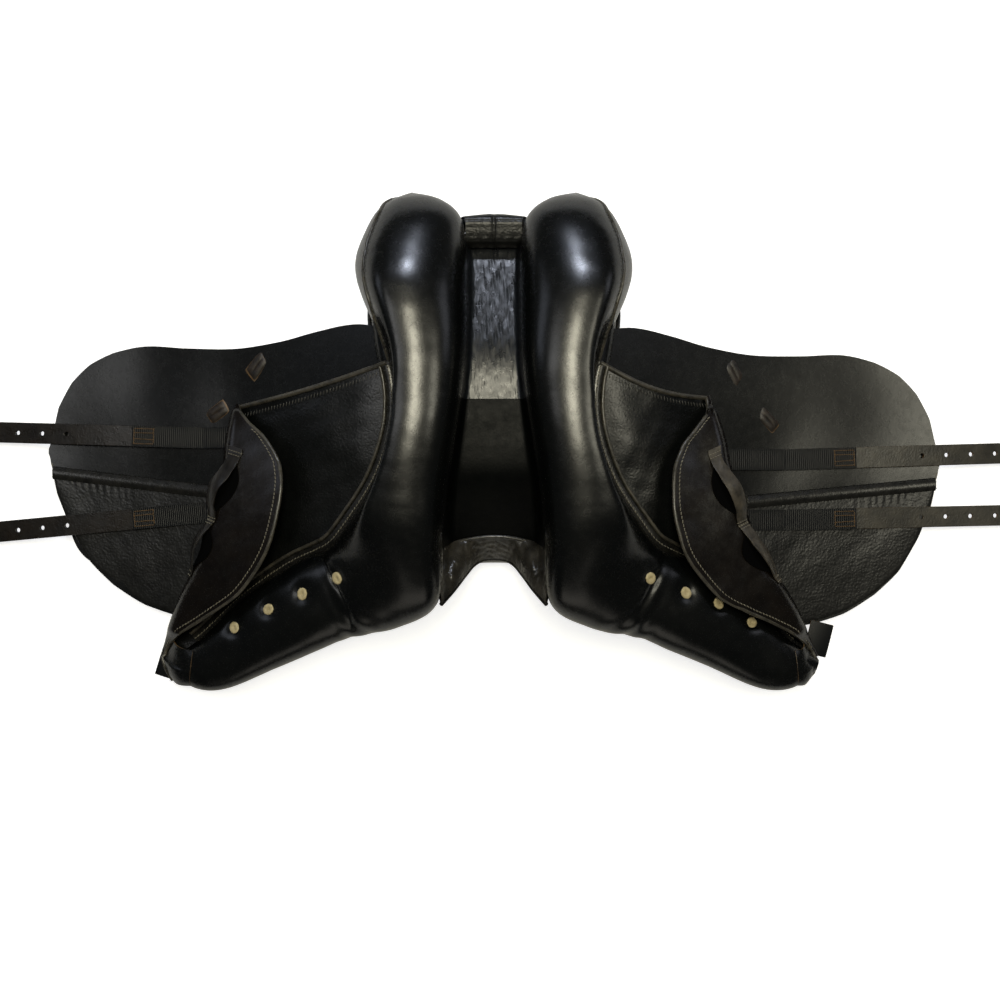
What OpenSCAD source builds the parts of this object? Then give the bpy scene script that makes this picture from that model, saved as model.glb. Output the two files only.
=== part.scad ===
// English saddle lying upside down: the seat rests on the ground and the panels face up.
// +X is the right side, +Y the cantle end, +Z up. Millimetres.

/* [Overall] */
// Reach of each flap from the spine
flap_reach = 537; // [440:1:650]
// Length from the front rolls to the back of the panels
saddle_len = 574; // [480:1:690]
// Height of the panels above the ground
saddle_h = 214; // [180:1:260]

/* [Leather] */
// Thickness of the saddle flaps
flap_t = 3.5; // [2.5:0.1:5]
// Thickness of the sweat flaps
sweat_t = 3; // [2:0.1:4]
// Thickness of panel, seat and lining leather
cover_t = 2.4; // [1.6:0.1:3.2]
// Thickness of the skirts
skirt_t = 3; // [2:0.1:4]

/* [Seat and tree] */
// Thickness of the seat foam
foam_t = 11; // [8:0.5:14]
// Thickness of the seat webbing
web_t = 1.6; // [1:0.1:2.4]
// Thickness of the laminated wood rails
rail_t = 8; // [6:0.5:10]
// Thickness of the laminated wood head
head_t = 10; // [8:0.5:12]
// Depth of the head along the spine
head_depth = 22; // [16:1:28]
// Thickness of the steel tree plates
plate_t = 2; // [1.2:0.1:2.6]
// Diameter of the tree rivets
rivet_d = 5; // [4:0.5:7]

/* [Stirrup bars] */
// Diameter of the forged bar
bar_d = 9; // [7:0.5:11]
// Width of the slot for the stirrup leather
bar_gap = 13; // [10:0.5:16]
// Length of the bar
bar_len = 58; // [48:1:66]
// Diameter of the catch pin
pin_d = 4; // [3:0.5:5]
// Length of the catch tongue behind its pin
catch_len = 18; // [14:0.5:21]

/* [Girth billets] */
// Width of a billet
billet_w = 25; // [20:0.5:30]
// Thickness of a billet strap
billet_t = 4; // [3:0.1:5]
// Diameter of the billet holes
hole_d = 5; // [4:0.25:7]
// Distance between billet holes
hole_pitch = 31; // [25:0.5:34]
// Number of billet holes
hole_count = 7; // [4:1:8]
// Reach of the billet tips from the spine
billet_reach = 745; // [700:1:800]

/* [Sweat flaps] */
// Radius of the curl along the outer margin
curl_r = 26; // [20:1:30]
// Width of the margin that is curled over
curl_w = 92; // [76:1:108]
// Diameter of the tuft washers
tuft_d = 13; // [10:0.5:16]

/* [Dees] */
// Wire diameter of the dees
dee_wire = 3.6; // [2.8:0.2:4.4]
// Inside width of the dees
dee_w = 26; // [20:1:30]

/* [Hidden] */
$fn = 48;
fit = 0.5;
pin_fit = 0.06;
kx = flap_reach / 537;
ky = saddle_len / 574;
kz = saddle_h / 214;

// Places a point of the nominal saddle, then lifts it by a fixed amount.
function at(x, y, z, lift = 0) = [x * kx, y * ky, z * kz + lift];

// Catmull-Rom curve through a list of numbers or vectors, u counts stations.
function curve4(a, b, c, d, t) =
    0.5 * (2 * b + (c - a) * t + (2 * a - 5 * b + 4 * c - d) * t * t + (3 * b - a - 3 * c + d) * t * t * t);
function along(list, u) =
    let (n = len(list) - 1, i = min(floor(u), n - 1))
    curve4(list[max(i - 1, 0)], list[i], list[i + 1], list[min(i + 2, n)], u - i);
function steps(a, b, n) = [for (i = [0:n]) a + (b - a) * i / n];
function signed_pow(v, p) = sign(v) * pow(abs(v), p);

// Closed solid between an upper and a lower grid, rows rear to front and columns left to right.
module slab(upper, lower) {
    m = len(upper);
    n = len(upper[0]);
    function id(k, j, i) = k * m * n + j * n + i;
    function quad(a, b, c, d) = [[a, b, c], [a, c, d]];
    top = [for (j = [0:m - 2], i = [0:n - 2])
        each quad(id(0, j, i), id(0, j, i + 1), id(0, j + 1, i + 1), id(0, j + 1, i))];
    bottom = [for (j = [0:m - 2], i = [0:n - 2])
        each quad(id(1, j, i), id(1, j + 1, i), id(1, j + 1, i + 1), id(1, j, i + 1))];
    rear = [for (i = [0:n - 2]) each quad(id(0, 0, i + 1), id(0, 0, i), id(1, 0, i), id(1, 0, i + 1))];
    front = [for (i = [0:n - 2])
        each quad(id(0, m - 1, i), id(0, m - 1, i + 1), id(1, m - 1, i + 1), id(1, m - 1, i))];
    inner = [for (j = [0:m - 2]) each quad(id(0, j, 0), id(0, j + 1, 0), id(1, j + 1, 0), id(1, j, 0))];
    outer = [for (j = [0:m - 2])
        each quad(id(0, j + 1, n - 1), id(0, j, n - 1), id(1, j, n - 1), id(1, j + 1, n - 1))];
    points = concat([for (row = upper) each row], [for (row = lower) each row]);
    polyhedron(points, concat(top, bottom, rear, front, inner, outer), 4);
}

// A slab of even thickness that follows a height, from low to high above it.
module layer(grid, low, high) {
    function lifted(h) = [for (row = grid) [for (p = row) p + [0, 0, h]]];
    slab(lifted(high), lifted(low));
}

// A right-hand child, drawn on the side s: 1 right, -1 left.
module on_side(s) {
    if (s > 0) children();
    else mirror([1, 0, 0]) children();
}
module both_sides() {
    children();
    mirror([1, 0, 0]) children();
}

// Seat stations, cantle to pommel: y, half width, centre height, edge height, half width of the flat.
seat = [
    [256, 40, 18, 34, 30], [249, 78, 4, 36, 36], [234, 108, 0, 42, 40], [199, 134, 22, 68, 30],
    [154, 142, 52, 86, 20], [94, 134, 78, 96, 12], [34, 117, 88, 102, 8], [-26, 102, 84, 104, 8],
    [-76, 86, 52, 94, 12], [-111, 72, 10, 76, 20], [-126, 58, 0, 50, 24], [-136, 44, 4, 34, 24]
];
seat_rise = 2.2;
function seat_z(row, x) =
    let (c = max(0, row[2]), q = max(0, (abs(x) - row[4]) / (row[1] - row[4])))
    c + (row[3] - c) * pow(q, seat_rise);
// Grid on the seat surface between two stations and two shares of the half width.
function seat_grid(u0, u1, rows, a, b, cols) = [for (u = steps(u0, u1, rows))
    let (row = along(seat, u)) [for (q = steps(a, b, cols)) at(q * row[1], row[0], seat_z(row, q * row[1]))]];

cover_top = cover_t;
foam_top = cover_top + fit + foam_t;
web_top = foam_top + fit + web_t;
cross_top = web_top + fit + web_t;
rail_low = web_top + fit;
rail_top = rail_low + rail_t;
plate_low = rail_top + fit;

module seat_cover() {
    color("#1b1a19") layer(seat_grid(0, 11, 22, -1, 1, 12), 0, cover_top);
}
module seat_foam() {
    color("#c9b98c") layer(seat_grid(0.5, 8.5, 16, -5 / 6, 5 / 6, 10), cover_top + fit, foam_top);
}
module seat_webbing() {
    color("#b9b29a") {
        both_sides() layer(seat_grid(2.5, 8.5, 12, 1 / 6, 1 / 3, 1), foam_top + fit, web_top);
        layer(seat_grid(5, 5.5, 1, -1 / 3, 1 / 3, 4), web_top + fit, cross_top);
    }
}
module tree_rails() {
    color("#c79a63") both_sides() layer(seat_grid(3.5, 9, 11, 0.5, rail_share, 3), rail_low, rail_top);
}
module tree_cantle() {
    color("#c79a63") layer(seat_grid(1.5, 3.4, 5, -0.8, 0.8, 12), rail_low, rail_top);
}
module spring_bars() {
    color("#5f666c") both_sides() layer(seat_grid(4, 8, 8, 0.6, 0.7, 1), plate_low, plate_low + plate_t);
}
module cantle_plate() {
    color("#5f666c") layer(seat_grid(1.88, 2.64, 2, -0.4, 0.4, 6), plate_low, plate_low + plate_t);
}
// Piping round the edge of the seat, sewn on the outside of the cover's edge.
module seat_welt() {
    welt_r = 2.5;
    grid = [for (u = steps(0, 11, 22)) let (row = along(seat, u), edge = at(row[1], row[0], row[3]))
        [edge + [fit, 0, 0], edge + [2 * welt_r, 0, 0]]];
    color("#141312") both_sides() layer(grid, -welt_r, cover_t);
}
// Domed nails through the edge of the seat into the rails.
nail_stations = [5.4, 9];
module saddle_nails() {
    nail_d = 11;
    color("#b08d3c") for (u = nail_stations) {
        row = along(seat, u);
        x = 0.72 * row[1];
        both_sides() translate(at(x, row[0], seat_z(row, x))) {
            translate([0, 0, -1.2]) cylinder(d = nail_d, h = 1.5);
            cylinder(d = 3, h = rail_low + rail_t / 2);
        }
    }
}

// Panel stations from the rear lobe to the crease, then the roll to its tip:
// inner point x y z, outer point x y z, rise of the crown, drop of the underside.
panel = [
    [91, 287, 108, 96, 287, 108, 4, 4], [59, 277, 112, 127, 270, 110, 34, 26],
    [37, 256, 118, 145, 241, 114, 50, 38], [31, 219, 126, 156, 205, 118, 60, 40],
    [30, 167, 134, 149, 167, 124, 70, 16], [31, 103, 142, 119, 97, 129, 72, 8],
    [36, 54, 144, 111, 49, 129, 75, 8], [42, 13, 144, 117, 4, 127, 76, 8],
    [51, -46, 142, 136, -45, 121, 76, 8], [57, -108, 142, 164, -87, 114, 70, 6],
    [63, -178, 140, 183, -112, 109, 48, 6], [108, -207, 122, 192, -120, 106, 40, 6],
    [165, -220, 106, 196, -123, 104, 34, 4], [202, -236, 95, 225, -137, 89, 36, 5],
    [250, -257, 80, 258, -158, 76.5, 34, 4], [312, -284, 64, 306, -196, 62.5, 28, 3],
    [350, -285, 55, 345, -243, 53, 22, 3], [371, -271, 51, 373, -264, 51, 6, 2]
];
crease_u = 12;
roll_u = 13;
squareness = 0.8;
// Point of the panel's section at angle a (180 inner, 90 crown, 0 outer), drawn in by inset.
function panel_point(u, a, inset = 0) =
    let (s = along(panel, u),
        middle = at((s[0] + s[3]) / 2, (s[1] + s[4]) / 2, (s[2] + s[5]) / 2),
        half = at((s[3] - s[0]) / 2, (s[4] - s[1]) / 2, (s[5] - s[2]) / 2),
        tall = kz * (sin(a) >= 0 ? s[6] : s[7]),
        p = half * signed_pow(cos(a), squareness) + [0, 0, tall * signed_pow(sin(a), squareness)])
    middle + p * (1 - min(inset / norm(p), 0.5));
function panel_grid(u0, u1, rows, a0, a1, cols, inset = 0) =
    [for (u = steps(u0, u1, rows)) [for (a = steps(a0, a1, cols)) panel_point(u, a, inset)]];

// Leather cover, open towards the tree.
module panel_cover() {
    slab(panel_grid(0, crease_u, 24, 235, -55, 14), panel_grid(0, crease_u, 24, 235, -55, 14, cover_t));
}
module left_panel() {
    color("#171615") on_side(-1) panel_cover();
}
module right_panel() {
    color("#171615") on_side(1) panel_cover();
}
module panel_flock() {
    wool_inset = cover_t + 4 * fit;
    color("#d9d2bf") both_sides() slab(panel_grid(0.5, 11.5, 22, 170, 10, 6, wool_inset),
        panel_grid(0.5, 11.5, 22, 190, 350, 6, wool_inset));
}

// Heights of the flap and of the sweat flap that lies over it, by distance from the spine.
flap_inner_x = 105;
flap_edge_z = 18;
flap_fall = 100;
layer_gap = 12;
function flap_z(x) = flap_edge_z + flap_fall * pow(1 - max(0, (x - flap_inner_x) / (537 - flap_inner_x)), 2);
function sweat_z(x) = flap_z(x) + layer_gap;

// The line on which each side folds, at the panel's welt.
fold_rear = [122, 100];
fold_front = [196, -190];
function fold_x(y) =
    let (share = (fold_rear[1] - y) / (fold_rear[1] - fold_front[1]))
    fold_rear[0] + (fold_front[0] - fold_rear[0]) * share;
// Half of the gap left on that line.
seam_gap = 0.2;

// Sewn margin between the panel and the fold line.
module panel_welts() {
    function edge(u) = panel_point(u, 0) + [fit, 0, 0];
    function sewn(u) = let (y = along(panel, u)[4]) at(fold_x(y) - seam_gap, y, sweat_z(fold_x(y)));
    grid = [for (u = steps(5.1, 8.4, 10)) [edge(u), sewn(u)]];
    color("#141312") both_sides() layer(grid, -cover_t, 0);
}

// Tufts, inner to outer: station and angle on the roll.
tufts = [[11.5, 72], [13.15, 72], [14.05, 73], [14.8, 72]];
dimple = 7;
dimple_r = 17;
function tuft_seat(k) = panel_point(tufts[k][0], tufts[k][1]);
// The roll's surface, drawn down round each tuft.
function roll_point(u, a) =
    let (p = panel_point(u, a), pulls = [for (k = [1:3]) exp(-pow(norm(p - tuft_seat(k)) / dimple_r, 2))])
    p - [0, 0, dimple * (pulls[0] + pulls[1] + pulls[2])];
module front_roll() {
    rows = steps(roll_u, 17, 26);
    slab([for (u = rows) [for (a = steps(172, 8, 12)) roll_point(u, a)]],
        [for (u = rows) [for (a = steps(188, 352, 12)) panel_point(u, a)]]);
}
module left_front_roll() {
    color("#121110") on_side(-1) front_roll();
}
module right_front_roll() {
    color("#121110") on_side(1) front_roll();
}
tuft_t = 2;
// Washers lie on the dimple's shoulder, and the panel's own washer on the crown's slope.
washer_lift = 4;
crown_lift = 3.6;
module tuft_washer(k, sink) {
    translate(tuft_seat(k) + [0, 0, fit - sink]) cylinder(d = tuft_d, h = tuft_t);
}
module left_tufts() {
    color("#c8b98a") on_side(-1) for (k = [1:3]) tuft_washer(k, dimple - washer_lift);
}
module right_tufts() {
    color("#c8b98a") on_side(1) for (k = [1:3]) tuft_washer(k, dimple - washer_lift);
}
module panel_tufts() {
    color("#c8b98a") both_sides() tuft_washer(0, -crown_lift);
}

// Sweat flap: inner edge on the fold line, then the curl from the rear corner to the front tip.
sweat_corner = [[299, 50], [253, 58]];
sweat_tip = [[392, -252], [383, -253]];
function pick(s, pair) = s < 0 ? pair[0] : pair[1];
sewn_rear = 96;
sewn_front = -166;
edge_min = 3;
curl_min = 7;
// The free edge climbs over the roll towards the front.
front_rise = 40;
function swell(v, p) = pow(max(0, sin(180 * v)), p);
// t runs 0 to 1 over the flat, 1 to 2 round the curl, 2 to 3 back over it; off is measured outwards.
function sweat_point(s, v, t, off = 0) =
    let (corner = pick(s, sweat_corner),
        tip = pick(s, sweat_tip),
        chord = (tip - corner) / norm(tip - corner),
        out = [-chord[1], chord[0]],
        r = curl_min + (curl_r - curl_min) * swell(v, 0.5),
        back = edge_min + max(0, curl_w * swell(v, 0.8) - r),
        inner_y = sewn_rear + (sewn_front - sewn_rear) * v,
        inner = [fold_x(inner_y) + seam_gap, inner_y],
        start = corner + (tip - corner) * v - out * r,
        turn = 180 * min(1, max(0, t - 1)),
        flat = inner + (start - inner) * min(t, 1),
        past = max(0, t - 2),
        plan = flat + out * ((r + off) * sin(turn) - back * past),
        z = t < 1 ? sweat_z(flat[0]) : sweat_z(start[0]),
        sag = past * (8 - 6 * past - front_rise * max(0, v - 0.5)),
        lift = t < 1 ? -off : r - (r + off) * cos(turn) - sag)
    at(plan[0], plan[1], z, lift);
sweat_ts = concat(steps(0, 0.9, 5), steps(1, 2, 7), steps(2.25, 3, 3));
sweat_vs = concat([0, 0.03], steps(0.08, 0.92, 12), [0.97, 1]);
module sweat_flap(s) {
    on_side(s) slab([for (v = sweat_vs) [for (t = sweat_ts) sweat_point(s, v, t)]],
        [for (v = sweat_vs) [for (t = sweat_ts) sweat_point(s, v, t, sweat_t)]]);
}
module left_sweat_flap() {
    color("#1d1b19") sweat_flap(-1);
}
module right_sweat_flap() {
    color("#1d1b19") sweat_flap(1);
}
// Guide strip along the shoulder of the curl, with two loops for the billets.
guide_loops = [0.33, 0.56];
guide_bulge = 3;
loop_half = 0.05;
function bump(d) = exp(-pow(d / loop_half, 2));
function guide_lift(v) = guide_bulge * (bump(v - guide_loops[0]) + bump(v - guide_loops[1]));
module billet_guide(s) {
    guide_t = 2;
    vs = steps(0.16, 0.7, 24);
    ts = steps(1.4, 2, 4);
    low = sweat_t + fit;
    on_side(s) slab([for (v = vs) [for (t = ts) sweat_point(s, v, t, low + guide_lift(v))]],
        [for (v = vs) [for (t = ts) sweat_point(s, v, t, low + guide_t + guide_lift(v))]]);
}
module left_billet_guide() {
    color("#2a2620") billet_guide(-1);
}
module right_billet_guide() {
    color("#2a2620") billet_guide(1);
}

// Billets: across position at the fold and at the tip, rear then front, left then right.
billet_start_x = 347;
web_gap = 0.7;
billet_ys = [[11, 24], [-78, -115], [-15, -2], [-87, -79]];
web_len = 88;
lap_len = 30;
outer_web_t = 2;
billet_start_z = sweat_z(billet_start_x);
billet_drop = sweat_t + fit + outer_web_t + billet_t / 2;
tip_clear = 1;
// Places a strap drawn along +X from the fold on side s, sloping down to the ground at its tip.
module along_billet(s, k) {
    start = at(billet_start_x, billet_ys[k][0], billet_start_z, -billet_drop);
    run = billet_reach - start[0];
    fall = start[2] - billet_t / 2 - tip_clear;
    side = billet_ys[k][1] * ky - start[1];
    on_side(s) translate(start) rotate([0, atan(fall / run), atan(side / run)]) children();
}
function billet_len(k) =
    let (start = at(billet_start_x, billet_ys[k][0], billet_start_z, -billet_drop))
    norm([billet_reach - start[0], billet_ys[k][1] * ky - start[1], start[2] - billet_t / 2 - tip_clear]);
module billet_strap(s, k) {
    from = web_len - lap_len;
    length = billet_len(k);
    first_hole = web_len + 82;
    along_billet(s, k) difference() {
        translate([from, -billet_w / 2, -billet_t / 2]) cube([length - from, billet_w, billet_t]);
        for (i = [0:hole_count - 1]) translate([first_hole + i * hole_pitch, 0, -billet_t])
            cylinder(d = hole_d, h = 2 * billet_t);
        for (m = [-1, 1]) translate([length, m * billet_w / 2, 0]) rotate([0, 0, 45])
            cube([billet_w / 2, billet_w / 2, 2 * billet_t], center = true);
    }
}
module billet_web(s, k) {
    along_billet(s, k) translate([0, -billet_w / 2, billet_t / 2]) cube([web_len, billet_w, outer_web_t]);
}
module left_rear_billet() {
    color("#2c261e") billet_strap(-1, 0);
}
module left_front_billet() {
    color("#2c261e") billet_strap(-1, 1);
}
module right_rear_billet() {
    color("#46443a") billet_strap(1, 2);
}
module right_front_billet() {
    color("#46443a") billet_strap(1, 3);
}
module left_rear_web() {
    color("#15151a") billet_web(-1, 0);
}
module left_front_web() {
    color("#15151a") billet_web(-1, 1);
}
module right_rear_web() {
    color("#15151a") billet_web(1, 2);
}
module right_front_web() {
    color("#15151a") billet_web(1, 3);
}
// Inner run of the webs, on the outer face of the sweat flap, from the fold line to the guide.
module girth_webs(s, ks) {
    on_side(s) for (k = ks) {
        y = billet_ys[k][0];
        half = billet_w / (2 * ky);
        from = fold_x(y) + 14;
        turned_corner = billet_w / 2 * ky * abs(billet_ys[k][1] - y) / (billet_reach - billet_start_x);
        to = billet_start_x - web_gap - turned_corner;
        grid = [for (side = [half, -half]) [for (x = steps(from, to, 8)) at(x, y + side, sweat_z(x))]];
        layer(grid, -sweat_t - fit - outer_web_t, -sweat_t - fit);
    }
}
module left_girth_webs() {
    color("#15151a") girth_webs(-1, [0, 1]);
}
module right_girth_webs() {
    color("#15151a") girth_webs(1, [2, 3]);
}
// Strap tab sewn under the front tip of the sweat flap.
module point_tab(s) {
    tab = [26, 40, 3];
    mid = pick(s, sweat_tip) + [-8, 9];
    on_side(s) translate(at(mid[0], mid[1], sweat_z(mid[0]), -sweat_t - fit - tab[2])) rotate([0, 4, 12])
        translate([-tab[0] / 2, -tab[1] / 2, 0]) cube(tab);
}
module left_point_tab() {
    color("#191817") point_tab(-1);
}
module right_point_tab() {
    color("#191817") point_tab(1);
}

// Flap outline by distance from the spine: x, rear edge y, front edge y.
flap = [
    [114, 128, 94], [128, 133, 40], [160, 137, -78], [201, 131, -150], [250, 120, -188], [305, 113, -205],
    [366, 114, -209], [420, 117, -195], [460, 109, -171], [490, 94, -143], [512, 72, -106], [528, 42, -66],
    [537, 4, -26]
];
flap_skew = 7;
// The two flaps lie a little askew: the left one further back.
function flap_row(s, u) =
    let (row = along(flap, u), skew = -s * flap_skew * row[0] / 537)
    [row[0], row[1] + skew, row[2] + skew];
function flap_grid(s, u0, u1, cols, a, b, rows) = [for (q = steps(a, b, rows)) [for (u = steps(u0, u1, cols))
    let (row = flap_row(s, u)) at(row[0], row[1] + (row[2] - row[1]) * q, flap_z(row[0]))]];
module saddle_flap(s) {
    on_side(s) layer(flap_grid(s, 0, 12, 24, 0, 1, 5), -flap_t, 0);
}
module left_flap() {
    color("#252422") saddle_flap(-1);
}
module right_flap() {
    color("#252422") saddle_flap(1);
}
// Soft facing on the lower front half of the flap, up to a piped band.
band = [[300, -56], [536, -31]];
module flap_facing(s) {
    facing_t = 1.6;
    margin = 4;
    function band_y(x) =
        let (share = (x - band[0][0]) / (band[1][0] - band[0][0]))
        band[0][1] + (band[1][1] - band[0][1]) * share;
    grid = [for (q = steps(0, 1, 4)) [for (u = steps(5, 11.4, 13))
        let (row = flap_row(s, u), top = band_y(row[0]) - s * flap_skew * row[0] / 537)
        at(row[0], top + (row[2] + margin - top) * q, flap_z(row[0]))]];
    on_side(s) layer(grid, fit, fit + facing_t);
}
module left_flap_facing() {
    color("#1c1b1a") flap_facing(-1);
}
module right_flap_facing() {
    color("#1c1b1a") flap_facing(1);
}
// Keeper for the stirrup leather: a strap on the outer face, its two ends sewn as diamonds on the inner face.
keeper_ends = [[280, 92, 14, 29], [326, 38, 36, 22]];
module keeper(s) {
    keeper_t = 2.4;
    keeper_turn = 40;
    strap = [20, 72, keeper_t];
    function tilt(x) = atan((flap_z(x + 1) - flap_z(x - 1)) * kz / (2 * kx));
    on_side(s) {
        for (e = keeper_ends) translate(at(e[0], e[1], flap_z(e[0]), 1.2 * fit)) rotate([0, -tilt(e[0]), 0])
            linear_extrude(keeper_t) rotate(e[2]) scale([0.45, 1]) rotate(45)
            square(e[3] / sqrt(2), center = true);
        mid = (keeper_ends[0] + keeper_ends[1]) / 2;
        translate(at(mid[0], mid[1], flap_z(mid[0]), -flap_t - fit - keeper_t / 2))
            rotate([0, -tilt(mid[0]), 0]) rotate([0, 0, keeper_turn])
            translate(-strap / 2) cube(strap);
    }
}
module left_keeper() {
    color("#4a3a26") keeper(-1);
}
module right_keeper() {
    color("#4a3a26") keeper(1);
}
// Knee block on the outer face of the flap; the flap rests on it.
knee_mid = [462, -60];
knee_half = [58, 84];
module knee_block(s) {
    cells = steps(-1, 1, 8);
    function drawn_in(c) = sqrt(1 - c * c / 2.4);
    function place(a, b) =
        [knee_mid[0] + knee_half[0] * a * drawn_in(b), knee_mid[1] + knee_half[1] * b * drawn_in(a)];
    function top(a, b) = let (p = place(a, b)) at(p[0], p[1], flap_z(p[0]), -flap_t - fit);
    function share(a, b) = 1 - (1 - pow(a, 6)) * (1 - pow(b, 6));
    upper = [for (b = cells) [for (a = cells) top(a, -b)]];
    lower = [for (b = cells) [for (a = cells) let (p = top(a, -b)) [p[0], p[1], (p[2] - 2) * share(a, b)]]];
    on_side(s) slab(upper, lower);
}
module left_knee_block() {
    color("#1c1b1a") knee_block(-1);
}
module right_knee_block() {
    color("#1c1b1a") knee_block(1);
}

// Skirt over the stirrup bar, hung from the edge of the seat; y, outer x.
skirt = [[58, 150], [30, 182], [-10, 203], [-50, 206], [-90, 186], [-118, 150]];
skirt_drop = 28;
skirt_seam = 6;
module flap_skirt() {
    function seat_edge(y) = lookup(y, [for (row = seat) [row[0], row[1]]]) + skirt_seam;
    grid = [for (u = steps(0, 5, 10)) let (row = along(skirt, u), x0 = seat_edge(row[0]))
        [for (x = steps(x0, row[1], 6)) at(x, row[0], flap_z(x), -skirt_drop)]];
    layer(grid, 0, skirt_t);
}
module left_skirt() {
    color("#1d1b19") on_side(-1) flap_skirt();
}
module right_skirt() {
    color("#1d1b19") on_side(1) flap_skirt();
}

// Channel leather: y, height at the spine, height at the panels.
channel = [
    [228, 68, 122], [199, 76, 126], [154, 90, 132], [94, 104, 139], [34, 110, 141], [-26, 107, 140],
    [-76, 86, 139], [-107, 64, 139]
];
wall_rise = 3;
function inner_edge(y) = lookup(y, [for (row = panel) if (row[1] > -190) [row[1], row[0]]]);
function channel_point(u, q) =
    let (row = along(channel, u), x = q * (inner_edge(row[0]) - fit))
    at(x, row[0], row[1] + (row[2] - row[1]) * pow(abs(q), wall_rise));
module channel_leather() {
    grid = [for (u = steps(0, 7, 14)) [for (q = steps(-1, 1, 10)) channel_point(u, q)]];
    color("#2b2e33") layer(grid, -cover_t, 0);
}
// Half of the arch's front edge: x, y, height; the pommel lining ends on it.
arch = [[0, -134, 36], [14, -135, 39], [27, -138, 52], [40, -150, 82], [51, -164, 110], [60, -174, 132]];
function arch_point(q) = let (p = along(arch, 5 * abs(q))) [sign(q) * p[0], p[1], p[2]];
module pommel_lining() {
    rows = steps(0, 1, 5);
    cols = steps(-1, 1, 20);
    grid = [for (r = rows) [for (q = cols)
        let (back = channel_point(7, q) - [0, fit, 0], p = arch_point(q), front = at(p[0], p[1], p[2]))
        back + (front - back) * r]];
    color("#3a332c") layer(grid, -cover_t, 0);
}
// A band that follows the arch from off to off + thick on its seat side, over depth along the spine.
module arch_band(q_end, off, thick, back, depth) {
    cols = steps(-q_end, q_end, 20);
    function offset_point(q, d) =
        let (p = arch_point(q), g = arch_point(q + 0.02) - arch_point(q - 0.02), n = [g[2], 0, -g[0]])
        at(p[0], p[1] + back, p[2]) + n / norm(n) * d;
    slab([for (y = [depth, 0]) [for (q = cols) offset_point(q, off) + [0, y, 0]]],
        [for (y = [depth, 0]) [for (q = cols) offset_point(q, off + thick) + [0, y, 0]]]);
}
gullet_low = cover_t + fit;
head_low = gullet_low + plate_t;
// How far the head and its plates stand back from the arch's front edge.
head_back = 4;
plate_back = 6;
module gullet_plate() {
    color("#5f666c") arch_band(0.8, gullet_low, plate_t, plate_back, head_depth - plate_back);
}
module tree_head() {
    color("#c79a63") arch_band(0.95, head_low + fit, head_t, head_back, head_depth);
}
module head_plate() {
    under = head_low + 2 * fit + head_t;
    color("#5f666c") arch_band(0.7, under, plate_t, plate_back, head_depth - plate_back);
}
// Facing between the rear lobes: across the top, then down the back of the cantle; y, height.
facing = [[232, 88], [241, 96], [250, 101], [257, 100], [261, 90], [262, 60], [257, 21]];
module cantle_facing() {
    half = 31;
    rows = steps(0, 6, 12);
    function slope(u) = along(facing, min(6, u + 0.05)) - along(facing, max(0, u - 0.05));
    function face(u, q, t) = let (p = along(facing, u), g = slope(u))
        at(q * half, p[0], p[1]) + [0, g[1], -g[0]] / norm(g) * t;
    color("#161514") slab([for (u = rows) [for (q = steps(-1, 1, 6)) face(6 - u, q, 0)]],
        [for (u = rows) [for (q = steps(-1, 1, 6)) face(6 - u, q, cover_t)]]);
}
module tree_rivets() {
    grip = 4;
    head_h = 1.5;
    color("#8f949a") for (u = [4.5, 6, 7.5]) {
        row = along(seat, u);
        x = 0.65 * row[1];
        both_sides() translate(at(x, row[0], seat_z(row, x), rail_top - grip))
            cylinder(d = rivet_d, h = grip + fit + plate_t + head_h);
    }
}
module point_pockets() {
    pocket = [26, 34, 2.4];
    pocket_mid = [73, -138, 128];
    color("#191817") both_sides() translate(at(pocket_mid[0], pocket_mid[1], pocket_mid[2]))
        cube(pocket, center = true);
}

// Stirrup bar: plate, front arm and bar, and lugs that reach in to the rail.
bar_y = -104;
bar_x = 107;
bar_z = 104;
plate_w = 3;
rod_x = bar_x * kx + plate_w + bar_gap + bar_d / 2;
catch_y = bar_y * ky + bar_len + 8;
// Lugs on the plate that reach in to the rail: rear side y, underside z.
bar_lugs = [[-67, 99], [-40, 107.8]];
lug_w = 8;
lug_h = 3.6;
rail_share = 0.8;
module stirrup_bar() {
    x0 = bar_x * kx;
    y0 = bar_y * ky;
    z0 = bar_z * kz;
    plate_h = 15;
    arm_w = 9;
    function rail_edge(y) = rail_share * kx * lookup(y, [for (row = seat) [row[0], row[1]]]) + 2 * fit;
    difference() {
        union() {
            translate([x0, y0 - arm_w, z0 - plate_h / 2]) cube([plate_w, bar_len + arm_w + 14, plate_h]);
            translate([x0, y0 - arm_w, z0 - bar_d / 2]) cube([rod_x - x0 + bar_d / 2, arm_w, bar_d]);
            translate([rod_x, y0 - 1, z0]) rotate([-90, 0, 0]) cylinder(d = bar_d, h = bar_len + 1);
            for (p = bar_lugs) translate([rail_edge(p[0]), p[0] * ky - lug_w, p[1] * kz])
                cube([x0 + 1 - rail_edge(p[0]), lug_w, lug_h]);
        }
        translate([x0 - 1, catch_y, z0]) rotate([0, 90, 0]) cylinder(d = pin_d, h = plate_w + 2);
    }
}
module left_stirrup_bar() {
    color("#9aa0a6") on_side(-1) stirrup_bar();
}
module right_stirrup_bar() {
    color("#9aa0a6") on_side(1) stirrup_bar();
}
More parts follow.
